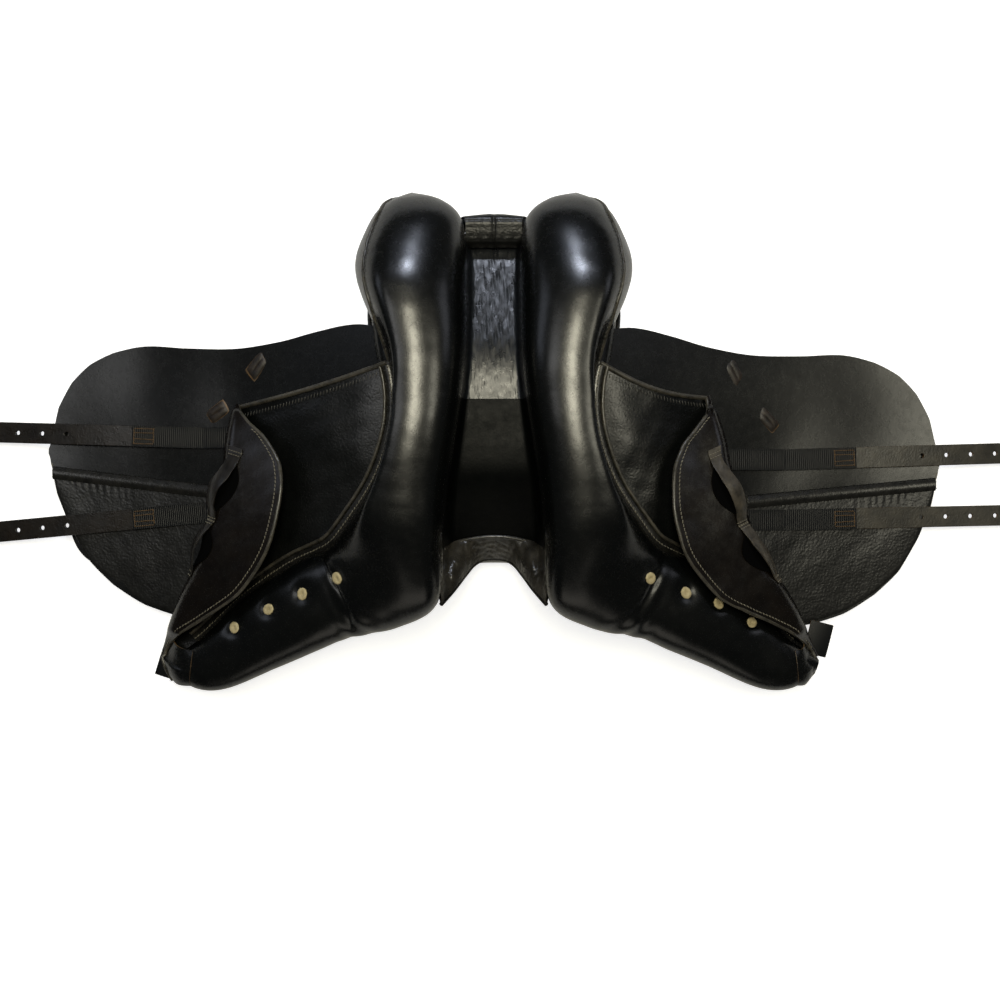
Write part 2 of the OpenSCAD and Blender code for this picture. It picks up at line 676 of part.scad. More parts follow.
// Catch behind the bar, swinging on its pin.
module bar_catch() {
    hub_d = 10;
    x0 = bar_x * kx + plate_w + fit;
    x1 = rod_x + bar_d / 2;
    tongue_h = 5;
    translate([0, catch_y, bar_z * kz]) difference() {
        union() {
            translate([x0, 0, 0]) rotate([0, 90, 0]) cylinder(d = hub_d, h = x1 - x0);
            translate([x1 - bar_d, 0, -tongue_h / 2]) cube([bar_d, catch_len, tongue_h]);
        }
        translate([x0 - 1, 0, 0]) rotate([0, 90, 0]) cylinder(d = pin_d + 2 * pin_fit, h = x1 - x0 + 2);
    }
}
module left_bar_catch() {
    color("#8d9399") on_side(-1) bar_catch();
}
module right_bar_catch() {
    color("#8d9399") on_side(1) bar_catch();
}
module catch_pins() {
    color("#70767c") both_sides() translate([bar_x * kx, catch_y, bar_z * kz]) rotate([0, 90, 0])
        cylinder(d = pin_d, h = rod_x + bar_d / 2 - bar_x * kx + 1);
}

// Dee on a chape at the front of the head.
dee_at = [72, -170, 92];
chape_w = 12;
chape_in = 16;
chape_step = 6;
chape_t = 4;
chape_len = 15;
module dee() {
    r = dee_w / 2 + dee_wire / 2;
    translate(at(dee_at[0], dee_at[1], dee_at[2])) union() {
        translate([-r, 0, 0]) rotate([0, 90, 0]) cylinder(d = dee_wire, h = 2 * r);
        rotate([-90, 0, 0]) rotate_extrude(angle = 180) translate([r, 0]) circle(d = dee_wire);
    }
}
module left_dee() {
    color("#a7a9ab") on_side(-1) dee();
}
module right_dee() {
    color("#a7a9ab") on_side(1) dee();
}
module dee_chapes() {
    eye_d = dee_wire + 5;
    bore_d = dee_wire + 2 * pin_fit;
    color("#191817") both_sides() translate(at(dee_at[0], dee_at[1], dee_at[2])) difference() {
        union() {
            translate([-chape_w / 2, 0, 0]) rotate([0, 90, 0]) cylinder(d = eye_d, h = chape_w);
            translate([-chape_w / 2, 0, -1]) cube([chape_w, chape_len, chape_t]);
            translate([-chape_w / 2 - chape_in, chape_step, -1]) cube([chape_in, chape_len - chape_step, chape_t]);
        }
        translate([-chape_w, 0, 0]) rotate([0, 90, 0]) cylinder(d = bore_d, h = 2 * chape_w);
    }
}

tree_head();
tree_rails();
tree_cantle();
head_plate();
gullet_plate();
spring_bars();
cantle_plate();
tree_rivets();
left_stirrup_bar();
right_stirrup_bar();
left_bar_catch();
right_bar_catch();
catch_pins();
seat_webbing();
seat_foam();
seat_cover();
seat_welt();
cantle_facing();
pommel_lining();
channel_leather();
saddle_nails();
left_dee();
right_dee();
dee_chapes();
left_panel();
right_panel();
panel_flock();
panel_welts();
panel_tufts();
point_pockets();
left_sweat_flap();
right_sweat_flap();
left_front_roll();
right_front_roll();
left_tufts();
right_tufts();
left_billet_guide();
right_billet_guide();
left_girth_webs();
right_girth_webs();
left_rear_web();
left_front_web();
right_rear_web();
right_front_web();
left_rear_billet();
left_front_billet();
right_rear_billet();
right_front_billet();
left_flap();
right_flap();
left_flap_facing();
right_flap_facing();
left_keeper();
right_keeper();
left_knee_block();
right_knee_block();
left_skirt();
right_skirt();
left_point_tab();
right_point_tab();
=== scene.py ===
"""English saddle lying upside down with its flaps opened out, seen from straight above."""
import math

import bpy
import numpy as np
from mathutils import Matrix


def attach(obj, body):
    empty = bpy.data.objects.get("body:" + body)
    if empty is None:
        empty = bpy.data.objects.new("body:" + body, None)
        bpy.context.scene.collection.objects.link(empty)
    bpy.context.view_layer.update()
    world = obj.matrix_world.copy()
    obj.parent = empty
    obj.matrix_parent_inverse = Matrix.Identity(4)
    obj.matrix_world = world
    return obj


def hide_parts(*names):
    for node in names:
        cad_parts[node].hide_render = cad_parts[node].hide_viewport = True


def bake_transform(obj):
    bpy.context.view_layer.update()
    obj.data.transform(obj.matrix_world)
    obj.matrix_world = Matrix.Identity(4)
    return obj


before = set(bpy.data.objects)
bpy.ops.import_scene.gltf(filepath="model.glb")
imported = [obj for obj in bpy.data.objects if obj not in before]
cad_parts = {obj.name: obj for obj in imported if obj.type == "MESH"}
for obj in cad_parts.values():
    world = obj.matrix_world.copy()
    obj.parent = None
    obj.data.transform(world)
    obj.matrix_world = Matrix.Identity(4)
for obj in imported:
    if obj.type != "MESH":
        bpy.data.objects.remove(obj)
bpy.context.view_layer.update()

# Studio: a white paper sheet on the ground under a broad warm ceiling lamp, with cool windows behind and at
# the sides, a softer lamp over each flap and a weak fill from the front. The sheet shows white to the camera
# and still takes the saddle's soft shadow.
MM = 0.001


def colour(code):
    """Linear RGBA of an sRGB hex code: each channel c becomes ((c + 0.055) / 1.055) ** 2.4."""
    channels = [int(code[i:i + 2], 16) / 255 for i in (1, 3, 5)]
    return [c / 12.92 if c < 0.04045 else ((c + 0.055) / 1.055) ** 2.4 for c in channels] + [1]


def add(tree, kind, settings=None, sockets=None):
    """Adds a shader node, sets its properties, then sets or links its inputs by name or number."""
    made = tree.nodes.new(kind)
    for name, value in (settings or {}).items():
        setattr(made, name, value)
    for name, value in (sockets or {}).items():
        if isinstance(value, bpy.types.NodeSocket):
            tree.links.new(value, made.inputs[name])
        else:
            made.inputs[name].default_value = value
    return made


def new_material(name):
    """An empty node material and its tree."""
    material = bpy.data.materials.new(name)
    material.use_nodes = True
    material.node_tree.nodes.clear()
    return material, material.node_tree


# White paper: matt to the lamps, with a glow that brings it to plain white where the camera sees it lit.
paper, tree = new_material("white_paper")
path = add(tree, "ShaderNodeLightPath")
seen = add(tree, "ShaderNodeMath", {"operation": "MAXIMUM"},
           {0: path.outputs["Is Camera Ray"], 1: path.outputs["Is Transmission Ray"]})
matt = add(tree, "ShaderNodeBsdfDiffuse", {}, {"Color": colour("#dcdcdc")})
glow = add(tree, "ShaderNodeEmission", {}, {"Color": colour("#ffffff"), "Strength": 0.74})
lit = add(tree, "ShaderNodeAddShader", {}, {0: matt.outputs[0], 1: glow.outputs[0]})
sheet = add(tree, "ShaderNodeMixShader", {}, {0: seen.outputs[0], 1: matt.outputs[0], 2: lit.outputs[0]})
add(tree, "ShaderNodeOutputMaterial", {}, {"Surface": sheet.outputs[0]})

bpy.ops.mesh.primitive_plane_add(size=40, location=(0, 0, -0.0012))
floor = bpy.context.object
floor.name = "floor"
floor.data.materials.append(paper)

world = bpy.data.worlds.new("studio")
bpy.context.scene.world = world
world.use_nodes = True
world.node_tree.nodes.clear()
tree = world.node_tree
path = add(tree, "ShaderNodeLightPath")
room = add(tree, "ShaderNodeBackground", {}, {"Color": colour("#e8ecf2"), "Strength": 0.035})
white = add(tree, "ShaderNodeBackground", {}, {"Color": colour("#ffffff"), "Strength": 1})
both = add(tree, "ShaderNodeMixShader", {},
           {0: path.outputs["Is Camera Ray"], 1: room.outputs[0], 2: white.outputs[0]})
add(tree, "ShaderNodeOutputWorld", {}, {"Surface": both.outputs[0]})


def lamp(name, place, aim, size, watts, tint):
    """A soft rectangular lamp at place that faces aim, in metres."""
    light = bpy.data.lights.new(name, "AREA")
    light.shape = "RECTANGLE"
    light.size, light.size_y = size
    light.energy = watts
    light.color = colour(tint)[:3]
    thing = bpy.data.objects.new(name, light)
    bpy.context.collection.objects.link(thing)
    away = np.array(place, float) - np.array(aim, float)
    flat = math.hypot(away[0], away[1])
    thing.location = place
    thing.rotation_euler = (math.atan2(flat, away[2]), 0, math.atan2(away[0], -away[1]) if flat else 0)


lamp("ceiling_lamp", (0.0, 0.33, 2.3), (0, 0.05, 0), (0.42, 0.7), 27, "#fff9e0")
lamp("window", (0.0, 2.05, 1.75), (0, 0.15, 0.1), (0.24, 0.2), 24, "#e6eeff")
lamp("left_lamp", (-1.1, 0.45, 2.2), (-0.3, 0, 0), (0.7, 0.6), 4.2, "#f8f8f8")
lamp("right_lamp", (1.2, 0.25, 2.2), (0.3, 0, 0), (0.6, 0.5), 7.2, "#fffae4")
lamp("left_window", (-2.1, 1.0, 1.3), (-0.1, 0, 0.15), (0.9, 0.8), 2.8, "#e4ebfa")
lamp("right_window", (2.1, 1.0, 1.3), (0.1, 0, 0.15), (0.9, 0.8), 2.8, "#eceffa")
lamp("front_fill", (0.0, -2.2, 1.2), (0, -0.1, 0.1), (2.2, 0.9), 5, "#fff8ea")

camera = bpy.data.objects.new("camera", bpy.data.cameras.new("camera"))
bpy.context.collection.objects.link(camera)
camera.location = (0.007, -0.063, 1.5)
camera.data.sensor_width = 36
camera.data.lens = 43.92
bpy.context.scene.camera = camera
bpy.context.scene.view_settings.view_transform = "Standard"

# Tree: laminated beech head, cantle and rails with forged plates and springs riveted on, all inside the saddle.
# These hidden pieces keep the CAD form and get the look of their materials.


def plain(name, shades, rough, metal=0.0, grain_mm=8.0, relief_mm=0.2, gloss=0.5):
    """Two shades mixed by noise of grain_mm, with bumps relief_mm high: wood, metal or woven tape."""
    material, tree = new_material(name)
    place = add(tree, "ShaderNodeTexCoord")
    where = place.outputs["Object"]
    noise = add(tree, "ShaderNodeTexNoise", {},
                {"Vector": where, "Scale": 1 / (grain_mm * MM), "Detail": 5.0, "Roughness": 0.6})
    tone = add(tree, "ShaderNodeMix", {"data_type": "RGBA"},
               {0: noise.outputs[0], 6: colour(shades[0]), 7: colour(shades[1])})
    bump = add(tree, "ShaderNodeBump", {},
               {"Height": noise.outputs[0], "Strength": 0.6, "Distance": relief_mm * MM})
    shader = add(tree, "ShaderNodeBsdfPrincipled", {},
                 {"Base Color": tone.outputs[2], "Roughness": rough, "Metallic": metal,
                  "Normal": bump.outputs[0], "Specular IOR Level": gloss})
    add(tree, "ShaderNodeOutputMaterial", {}, {"Surface": shader.outputs[0]})
    return material


def finish(material, *names):
    """Gives CAD nodes their real material."""
    for name in names:
        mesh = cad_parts[name].data
        mesh.materials.clear()
        mesh.materials.append(material)


# Beech under thin varnish: pale brown with a soft sheen.
beech = plain("varnished_beech", ("#8a6238", "#b58a58"), 0.45, grain_mm=14, relief_mm=0.15)
# Spring steel, hot rolled and oiled: dark grey with a dull shine.
spring_steel = plain("spring_steel", ("#3b3d40", "#5a5c5e"), 0.42, metal=1, grain_mm=20)
# Forged bar steel: brighter, worn smooth by stirrup leathers.
bar_steel = plain("bar_steel", ("#77797b", "#9c9d9d"), 0.32, metal=1, grain_mm=12)
# Nickel plate on the dees: bright with slight haze.
nickel = plain("nickel_plate", ("#b3b1a8", "#d2d0c8"), 0.2, metal=1, grain_mm=25, relief_mm=0.05)
# Brass pins and nail heads, dulled by age.
brass = plain("aged_brass", ("#7a5c26", "#a8863f"), 0.35, metal=1, grain_mm=6)
# Linen seat webbing: undyed coarse tape.
linen = plain("linen_webbing", ("#8f8468", "#b8ad8c"), 0.9, grain_mm=2.5, relief_mm=0.5)
# Chrome-tanned chape and pocket leather: plain black, low shine.
pocket_leather = plain("chape_leather", ("#100f0e", "#1d1b19"), 0.5, grain_mm=3, relief_mm=0.2)
finish(beech, "tree_head", "tree_rails", "tree_cantle")
finish(spring_steel, "head_plate", "gullet_plate", "spring_bars", "cantle_plate", "tree_rivets")
finish(bar_steel, "left_stirrup_bar", "right_stirrup_bar", "left_bar_catch", "right_bar_catch")
finish(brass, "catch_pins", "saddle_nails")
finish(nickel, "left_dee", "right_dee")
finish(linen, "seat_webbing")
finish(pocket_leather, "dee_chapes", "point_pockets")

# Seat: black cowhide blocked over foam on the webbed tree, its edge closed by a welt cord.
# It faces the ground here; two raised seams run along it as on the real seat.


def leather(name, deep, worn, rough, grain_mm, relief_mm, drift_mm=45.0, uneven=0.06, stretch=(1, 1, 1),
            billow_mm=0.8, gloss=0.5):
    """Dyed cowhide: shades drift over drift_mm with billows billow_mm high; pebbles of grain_mm, drawn out by
    stretch, stand relief_mm high."""
    material, tree = new_material(name)
    place = add(tree, "ShaderNodeTexCoord")
    where = place.outputs["Object"]
    cloud = add(tree, "ShaderNodeTexNoise", {},
                {"Vector": where, "Scale": 1 / (drift_mm * MM), "Detail": 6.0, "Roughness": 0.62})
    share = add(tree, "ShaderNodeMapRange", {}, {"Value": cloud.outputs[0], 1: 0.32, 2: 0.68})
    tone = add(tree, "ShaderNodeMix", {"data_type": "RGBA"},
               {0: share.outputs[0], 6: colour(deep), 7: colour(worn)})
    scuff_mm = 9
    scuff = add(tree, "ShaderNodeTexNoise", {},
                {"Vector": where, "Scale": 1 / (scuff_mm * MM), "Detail": 7.0, "Roughness": 0.7})
    polish = add(tree, "ShaderNodeMapRange", {},
                 {"Value": scuff.outputs[0], 1: 0.3, 2: 0.7, 3: rough - uneven, 4: rough + uneven})
    drawn = add(tree, "ShaderNodeVectorMath", {"operation": "DIVIDE"}, {0: where, 1: stretch})
    bent = add(tree, "ShaderNodeTexNoise", {}, {"Vector": where, "Scale": 1 / (4 * grain_mm * MM)})
    moved = add(tree, "ShaderNodeVectorMath", {"operation": "MULTIPLY_ADD"},
                {0: bent.outputs["Color"], 1: [1.5 * grain_mm * MM] * 3, 2: drawn.outputs[0]})
    cells = add(tree, "ShaderNodeTexVoronoi", {"feature": "SMOOTH_F1"},
                {"Vector": moved.outputs[0], "Scale": 1 / (grain_mm * MM)})
    pebble = add(tree, "ShaderNodeBump", {"invert": True},
                 {"Height": cells.outputs[0], "Strength": 0.7, "Distance": relief_mm * MM})
    hide = add(tree, "ShaderNodeBump", {}, {"Height": cloud.outputs[0], "Strength": 0.5,
                                            "Distance": billow_mm * MM, "Normal": pebble.outputs[0]})
    shader = add(tree, "ShaderNodeBsdfPrincipled", {},
                 {"Base Color": tone.outputs[2], "Normal": hide.outputs[0], "Roughness": polish.outputs[0],
                  "Specular IOR Level": gloss})
    add(tree, "ShaderNodeOutputMaterial", {}, {"Surface": shader.outputs[0]})
    return material


# Panel and seat hide: smooth black with a waxed shine, lightly scuffed. Grain is drawn coarser than life.
panel_leather = leather("waxed_black_hide", "#030404", "#080908", 0.265, 2.2, 0.03, uneven=0.03, billow_mm=0.5)


def spline(points, at):
    """Catmull-Rom curve through rows of points at row numbers at, straight beyond the ends."""
    points = np.asarray(points, float)
    last = len(points) - 1
    at = np.asarray(at, float)
    k = np.clip(np.floor(at), 0, last - 1).astype(int)
    t = (at - k)[..., None]
    a, b, c, d = (points[np.clip(k + step, 0, last)] for step in (-1, 0, 1, 2))
    return b + 0.5 * t * (c - a + t * (2 * a - 5 * b + 4 * c - d + t * (3 * (b - c) + d - a)))


def grid(rows, cols):
    """Row value and column value at every point of a grid."""
    return np.meshgrid(rows, cols, indexing="ij")


def quads(rows, cols, wrap=False):
    """Corner numbers of the cells of a rows by cols grid of points, columns closed to a ring if wrap."""
    j, i = grid(np.arange(rows - 1), np.arange(cols if wrap else cols - 1))
    right = (i + 1) % cols
    below = (j + 1) * cols
    return np.stack([j * cols + i, j * cols + right, below + right, below + i], -1).reshape(-1, 4)


def piece(name, points, faces, materials, side=1, sharp=50):
    """Mesh object of points in mm; side -1 mirrors it across the centre line and turns its faces back out."""
    points = np.array(points, float).reshape(-1, 3)
    if side < 0:
        points[:, 0] *= -1
        faces = [face[::-1] for face in faces]
    mesh = bpy.data.meshes.new(name)
    mesh.from_pydata((points * MM).tolist(), [], faces)
    mesh.update()
    for material in materials:
        mesh.materials.append(material)
    mesh.shade_smooth()
    mesh.set_sharp_from_angle(angle=math.radians(sharp))
    made = bpy.data.objects.new(name, mesh)
    bpy.context.collection.objects.link(made)
    return made


def leaf(made, thick, back=0, rim=0, round_over=0.5):
    """Gives a sheet its thickness, behind its face, and rounds its cut edges; sizes in mm."""
    solid = made.modifiers.new("thickness", "SOLIDIFY")
    solid.thickness = thick * MM
    solid.offset = -1
    solid.material_offset = back
    solid.material_offset_rim = rim
    edge = made.modifiers.new("edge", "BEVEL")
    edge.width = round_over * MM
    edge.segments = 2
    edge.limit_method = "ANGLE"
    edge.angle_limit = math.radians(55)
    edge.harden_normals = True


def sheet(name, points, materials, thick, side=1, flip=False, sharp=50, **cut):
    """Hide on a grid of points in mm: one face per cell, turned over if flip, then made thick by leaf."""
    faces = quads(*points.shape[:2])
    made = piece(name, points, (faces[:, ::-1] if flip else faces).tolist(), materials, side, sharp)
    leaf(made, thick, **cut)
    return made


# Rows of the seat: y, half width, heights of its middle and of its edge, half width of the flat middle.
SEAT = [[256, 40, 18, 34, 30], [249, 78, 4, 36, 36], [234, 108, 0, 42, 40], [199, 134, 22, 68, 30],
        [154, 142, 52, 86, 20], [94, 134, 78, 96, 12], [34, 117, 88, 102, 8], [-26, 102, 84, 104, 8],
        [-76, 86, 52, 94, 12], [-111, 72, 10, 76, 20], [-126, 58, 0, 50, 24], [-136, 44, 4, 34, 24]]
SEAT_T = 13


def seat_point(row, q):
    """Seat's outer face: width share q of the row's half width, rising as a 2.2 power from the flat middle."""
    y, half, low, high, flat = np.moveaxis(spline(SEAT, row), -1, 0)
    x = q * half
    rise = np.clip((np.abs(x) - flat) / (half - flat), 0, None) ** 2.2
    low = np.maximum(low, 0.6)
    return np.stack([x, y, low + (high - low) * rise], -1)


row, q = grid(np.linspace(0, len(SEAT) - 1, 111), np.linspace(-1, 1, 81))
seat = sheet("seat", seat_point(row, q), [panel_leather], SEAT_T, round_over=2)
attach(seat, "saddle")
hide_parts("seat_cover", "seat_foam")

# Seat turnover: the margin of the seat's hide on each side, drawn up over the edge and in over the tree, where
# it is tacked down.
SIDES = ((1, "right"), (-1, "left"))
row, w = grid(np.linspace(0, 5.5, 111), np.linspace(0, 1, 9))
inward = 26 * w ** 2
rise = 9 + 24 * np.sin(w * np.pi / 2) * np.interp(row, [0, 1, 3, 5.5], [0.3, 0.5, 1, 0.7])
skin = seat_point(row, 1 + 0 * row) + np.stack([-inward - 1, -0.4 * inward * (row < 1.5), rise], -1)
for side, word in SIDES:
    turnover = sheet(word + "_seat_turnover", skin, [panel_leather], 1.6, side, round_over=0.4)
    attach(turnover, "saddle")

# Seat welts and seams: piping hide drawn round a cotton cord and sewn in along each edge of the seat, and a
# finer raised seam on each side of its middle.
WELT_R, RAISED_R = 3, 1.8


def unit(vectors):
    """Vectors divided by their own lengths."""
    return vectors / np.linalg.norm(vectors, axis=-1, keepdims=True)


def tube(name, path, radius, material, side=1, up=(0, 0, 1)):
    """Round cord along path in mm: circles of the radius square to the path, the two end circles closed."""
    sides = 10
    along = unit(np.gradient(path, axis=0))
    across = unit(np.cross(along, up))
    normal = np.cross(across, along)
    turn = np.linspace(0, 2 * np.pi, sides, endpoint=False)
    ring = np.cos(turn)[:, None] * across[:, None] + np.sin(turn)[:, None] * normal[:, None]
    points = path[:, None] + radius * ring
    faces = quads(len(path), sides, True)[:, ::-1].tolist()
    first = list(range(sides))
    faces += [first, [len(path) * sides - 1 - i for i in first]]
    return piece(name, points, faces, [material], side)


# Welt and piping hide: the seat's leather drawn tight over cord, so it shines more.
piping_leather = leather("piping_hide", "#0a0a09", "#1d1c19", 0.27, 2.4, 0.1, drift_mm=12)
rows = np.linspace(0.4, 10.8, 100)
edge = seat_point(rows, 1 + 0 * rows) + [1.5, 0, 2]
inner = seat_point(rows, 0.58 + 0 * rows) - [0, 0, 0.4]
for side, word in SIDES:
    welt = tube(word + "_seat_welt", edge, WELT_R, piping_leather, side)
    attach(welt, "saddle")
    if side > 0:
        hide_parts("seat_welt")
    seam = tube(word + "_seat_seam", inner, RAISED_R, piping_leather, side)
    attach(seam, "saddle")

# Panels and front rolls: one black hide cover per side, hand flocked, from the round rear lobe along the
# channel to the tip of the front roll. Tufts pull it in, and it creases where the panel turns into the roll.
HOLLOW_R = 11
STATIONS, RING = 421, 128
# Stations of the panel: its inner seam's x, y, z, its outer seam's x, y, z, height above them, depth below.
# Tufts: station and degrees round the skin.
PANEL = [[91, 287, 108, 96, 287, 108, 4, 6], [59, 277, 112, 127, 270, 110, 31, 60],
         [37, 256, 118, 145, 241, 114, 52, 70], [31, 219, 126, 156, 205, 118, 66, 62],
         [30, 167, 134, 149, 167, 124, 75, 32], [31, 103, 142, 119, 97, 129, 75, 8],
         [36, 54, 144, 111, 49, 129, 75, 8], [42, 13, 144, 117, 4, 127, 76, 8],
         [51, -46, 142, 136, -45, 121, 76, 8], [57, -108, 142, 164, -87, 114, 70, 6],
         [63, -178, 140, 183, -112, 109, 48, 6], [108, -207, 122, 192, -120, 106, 40, 6],
         [165, -220, 106, 196, -123, 104, 34, 4], [202, -236, 95, 222, -131, 89, 36, 5],
         [250, -257, 80, 254, -149, 76.5, 34, 4], [312, -284, 64, 299, -181, 62.5, 28, 3],
         [352, -285, 55, 345, -224, 53, 23, 3], [381, -266, 51, 385, -253, 51, 6, 2]]
TUFTS = {1: [[11.44, 73], [13.06, 74], [14.09, 65], [14.92, 62]],
         -1: [[11.44, 73], [13.04, 76], [14.11, 73], [14.95, 69]]}


def panel_point(u, angle):
    """Panel skin: across cos(angle) from inner to outer seam, up or down by sin(angle), each to a power from
    0.76 to 1 that changes along the panel. The crest leans outward, most beside the channel."""
    s = spline(PANEL, u)
    inner, outer = s[..., :3], s[..., 3:6]
    c, r = np.cos(angle), np.sin(angle)
    across = np.sign(c) * np.abs(c) ** np.where(c > 0, np.interp(u, [9, 11], [1, 0.8]), 0.8)
    power = np.interp(u, [2.5, 5.5, 8.5, 10.3, 12], [0.95, 0.76, 0.76, 0.9, 0.8])
    up = np.sign(r) * np.abs(r) ** power * np.where(r >= 0, s[..., 6], s[..., 7])
    lean = np.interp(u, [0, 2, 4, 6, 8.5, 10.3, 12], [0, 10, 21, 29, 27, 6, 0]) * np.clip(r, 0, 1) ** 4
    skin = (inner + outer) / 2 + (outer - inner) / 2 * across[..., None] + up[..., None] * [0, 0, 1]
    return skin + lean[..., None] * unit(outer - inner)


def swells(points, length, seed):
    """Uneven relief from about -1 to 1: twice the mean of nine sine waves of about one length in random
    directions."""
    rng = np.random.default_rng(seed)
    waves = 9
    heading = unit(rng.normal(size=(waves, 3)))
    rate = 2 * np.pi / (length * rng.uniform(0.7, 1.5, waves))
    phase = rng.uniform(0, 2 * np.pi, waves)
    return np.sin(points @ (heading * rate[:, None]).T + phase).sum(-1) / (waves / 2)


def panel_skin(u, angle, side):
    """Panel skin with its relief: tuft hollows, the crease at the roll, wrinkles beside it and slow swells."""
    base = panel_point(u, angle)
    mid = panel_point(u, angle * 0 + np.pi / 2) - [0, 0, 40]
    out = base - mid
    out /= np.linalg.norm(out, axis=-1)[..., None] + 1e-9
    top = np.clip(np.sin(angle), 0, 1) ** 0.6
    crease = 12 - 0.36 * np.clip(np.sin(angle), 0, 1) ** 2 + 0.03 * side * np.cos(3 * angle)
    past = u - crease
    depth = 2.6 if side < 0 else 1.2
    lip = -depth * np.where(past > 0, np.exp(-past / 0.3), np.exp(past / 0.05)) * top
    fold = 0.8 if side < 0 else 1
    pleat = fold * np.sin(2 * np.pi * (1.9 * u + 0.75 * angle + 0.3 * side))
    pleat = pleat * np.exp(-((u - 11.75) / 0.42) ** 2) * np.clip(np.sin(angle * 0.8 - 0.5), 0, 1)
    relief = lip + pleat + 0.5 * swells(base, 80, 3 + side) + 0.1 * swells(base, 26, 8 + side)
    for station, degrees in TUFTS[side]:
        spot = panel_point(np.array([station]), np.radians([degrees]))
        gap = np.linalg.norm(base - spot, axis=-1)
        relief = relief - (5 if station > 12 else 3) * np.exp(-(gap / HOLLOW_R) ** 2)
    return base + out * relief[..., None]


def bend_at_roll(made):
    """Bakes the piece's transform into its mesh points."""
    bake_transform(made)


u, angle = grid(np.linspace(0, len(PANEL) - 1, STATIONS), np.linspace(0, 2 * np.pi, RING, endpoint=False))
first = np.arange(RING)
last = first + (STATIONS - 1) * RING
pole = STATIONS * RING
start = np.stack([np.full(RING, pole), np.roll(first, -1), first], -1)
close = np.stack([np.full(RING, pole + 1), last, np.roll(last, -1)], -1)
faces = quads(STATIONS, RING, True).tolist() + start.tolist() + close.tolist()
for side, word in SIDES:
    skin = panel_skin(u, angle, side)
    points = np.concatenate([skin.reshape(-1, 3), skin[:1].mean(1), skin[-1:].mean(1)])
    panel = piece(word + "_panel_cover", points, faces, [panel_leather], side, sharp=80)
    bend_at_roll(panel)
    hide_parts(word + "_panel", word + "_front_roll", *(["panel_flock"] if side > 0 else []))

# Sweat flaps: pebbled black hide sewn along the panel's outer seam; the free margin has curled up and over
# with use and shows its smoother brown outer face. Cut edges are tan where the dye has gone.
SWEAT_T, CLEAR, RISE = 3, 12, 0.27
EDGE_R, BINDING_R = 2.2, 2.9
FLAP_END_Z, FLAP_FALL, FLAP_ROOT_X, FLAP_RUN = 18, 100, 105, 432
# Rows of a curl: share along the outer edge, how far the margin reaches back, how far its edge bows out.
# Rows of the seam: the same share, and the panel's station there.
LIMB = {1: {"corner": (252, 59), "tip": (386, -248), "rear_bow": 11,
            "curl": [[0, 5, 0], [.05, 13, 2], [.09, 37, 3.5], [.12, 58, 4.5], [.175, 77, 7], [.23, 88, 12],
                     [.31, 99, 16], [.4, 105, 17], [.47, 106, 19], [.55, 100, 24], [.64, 89, 17], [.71, 70, 9],
                     [.81, 40, 4], [.89, 19, 2.5], [.96, 7, 1], [1, 5, 0]]},
        -1: {"corner": (306, 49), "tip": (397, -246), "rear_bow": 4,
             "curl": [[0, 5, 0], [.05, 28, 2], [.08, 50, 3], [.12, 67, 4.5], [.16, 80, 7], [.22, 89, 12],
                      [.29, 94, 16], [.38, 97, 15], [.47, 97, 14], [.56, 91, 17], [.66, 79, 12], [.74, 60, 7],
                      [.82, 39, 4], [.9, 17, 1.5], [.97, 6, 0], [1, 5, 0]]}}
TIP = {1: [(384, -253, 50), (380, -268, 48), (372, -278, 46)],
       -1: [(394.6, -249.6, 50), (390, -265, 48), (383, -278, 46)]}
SEAM = [[0, 5.05], [.25, 7.4], [.5, 9.7], [.75, 14.2], [1, 16.8]]


def flap_z(x):
    """Height of the flap's upper face: it falls from 118 mm at the saddle to 18 mm at its end as a square."""
    return FLAP_END_Z + FLAP_FALL * (1 - np.clip((x - FLAP_ROOT_X) / FLAP_RUN, 0, 1)) ** 2


def curve(table, x):
    """Smooth values of a table of [x, value...] rows at x: spline over rows placed where x falls."""
    table = np.asarray(table, float)
    rows = np.interp(x, table[:, 0], np.arange(len(table)))
    return spline(table[:, 1:], rows)


def curl_frame(side, v):
    """Fold point in plan, outward direction, fold radius and depth of the turned-back margin at share v."""
    limb = LIMB[side]
    corner, tip = np.array(limb["corner"], float), np.array(limb["tip"], float)
    chord = (tip - corner) / np.linalg.norm(tip - corner)
    out = np.array([-chord[1], chord[0]])
    depth, bow = np.moveaxis(curve(limb["curl"], v), -1, 0)
    radius = np.clip(4 + 18 * np.sin(np.pi * np.clip(v, 0, 1)) ** 0.5, 1.2, depth - bow - SWEAT_T - 0.8)
    fold = corner + v[..., None] * (tip - corner) - out * (bow + SWEAT_T)[..., None]
    return fold, out, radius, np.maximum(depth - bow - (1 - RISE) * radius - SWEAT_T, 0.8)


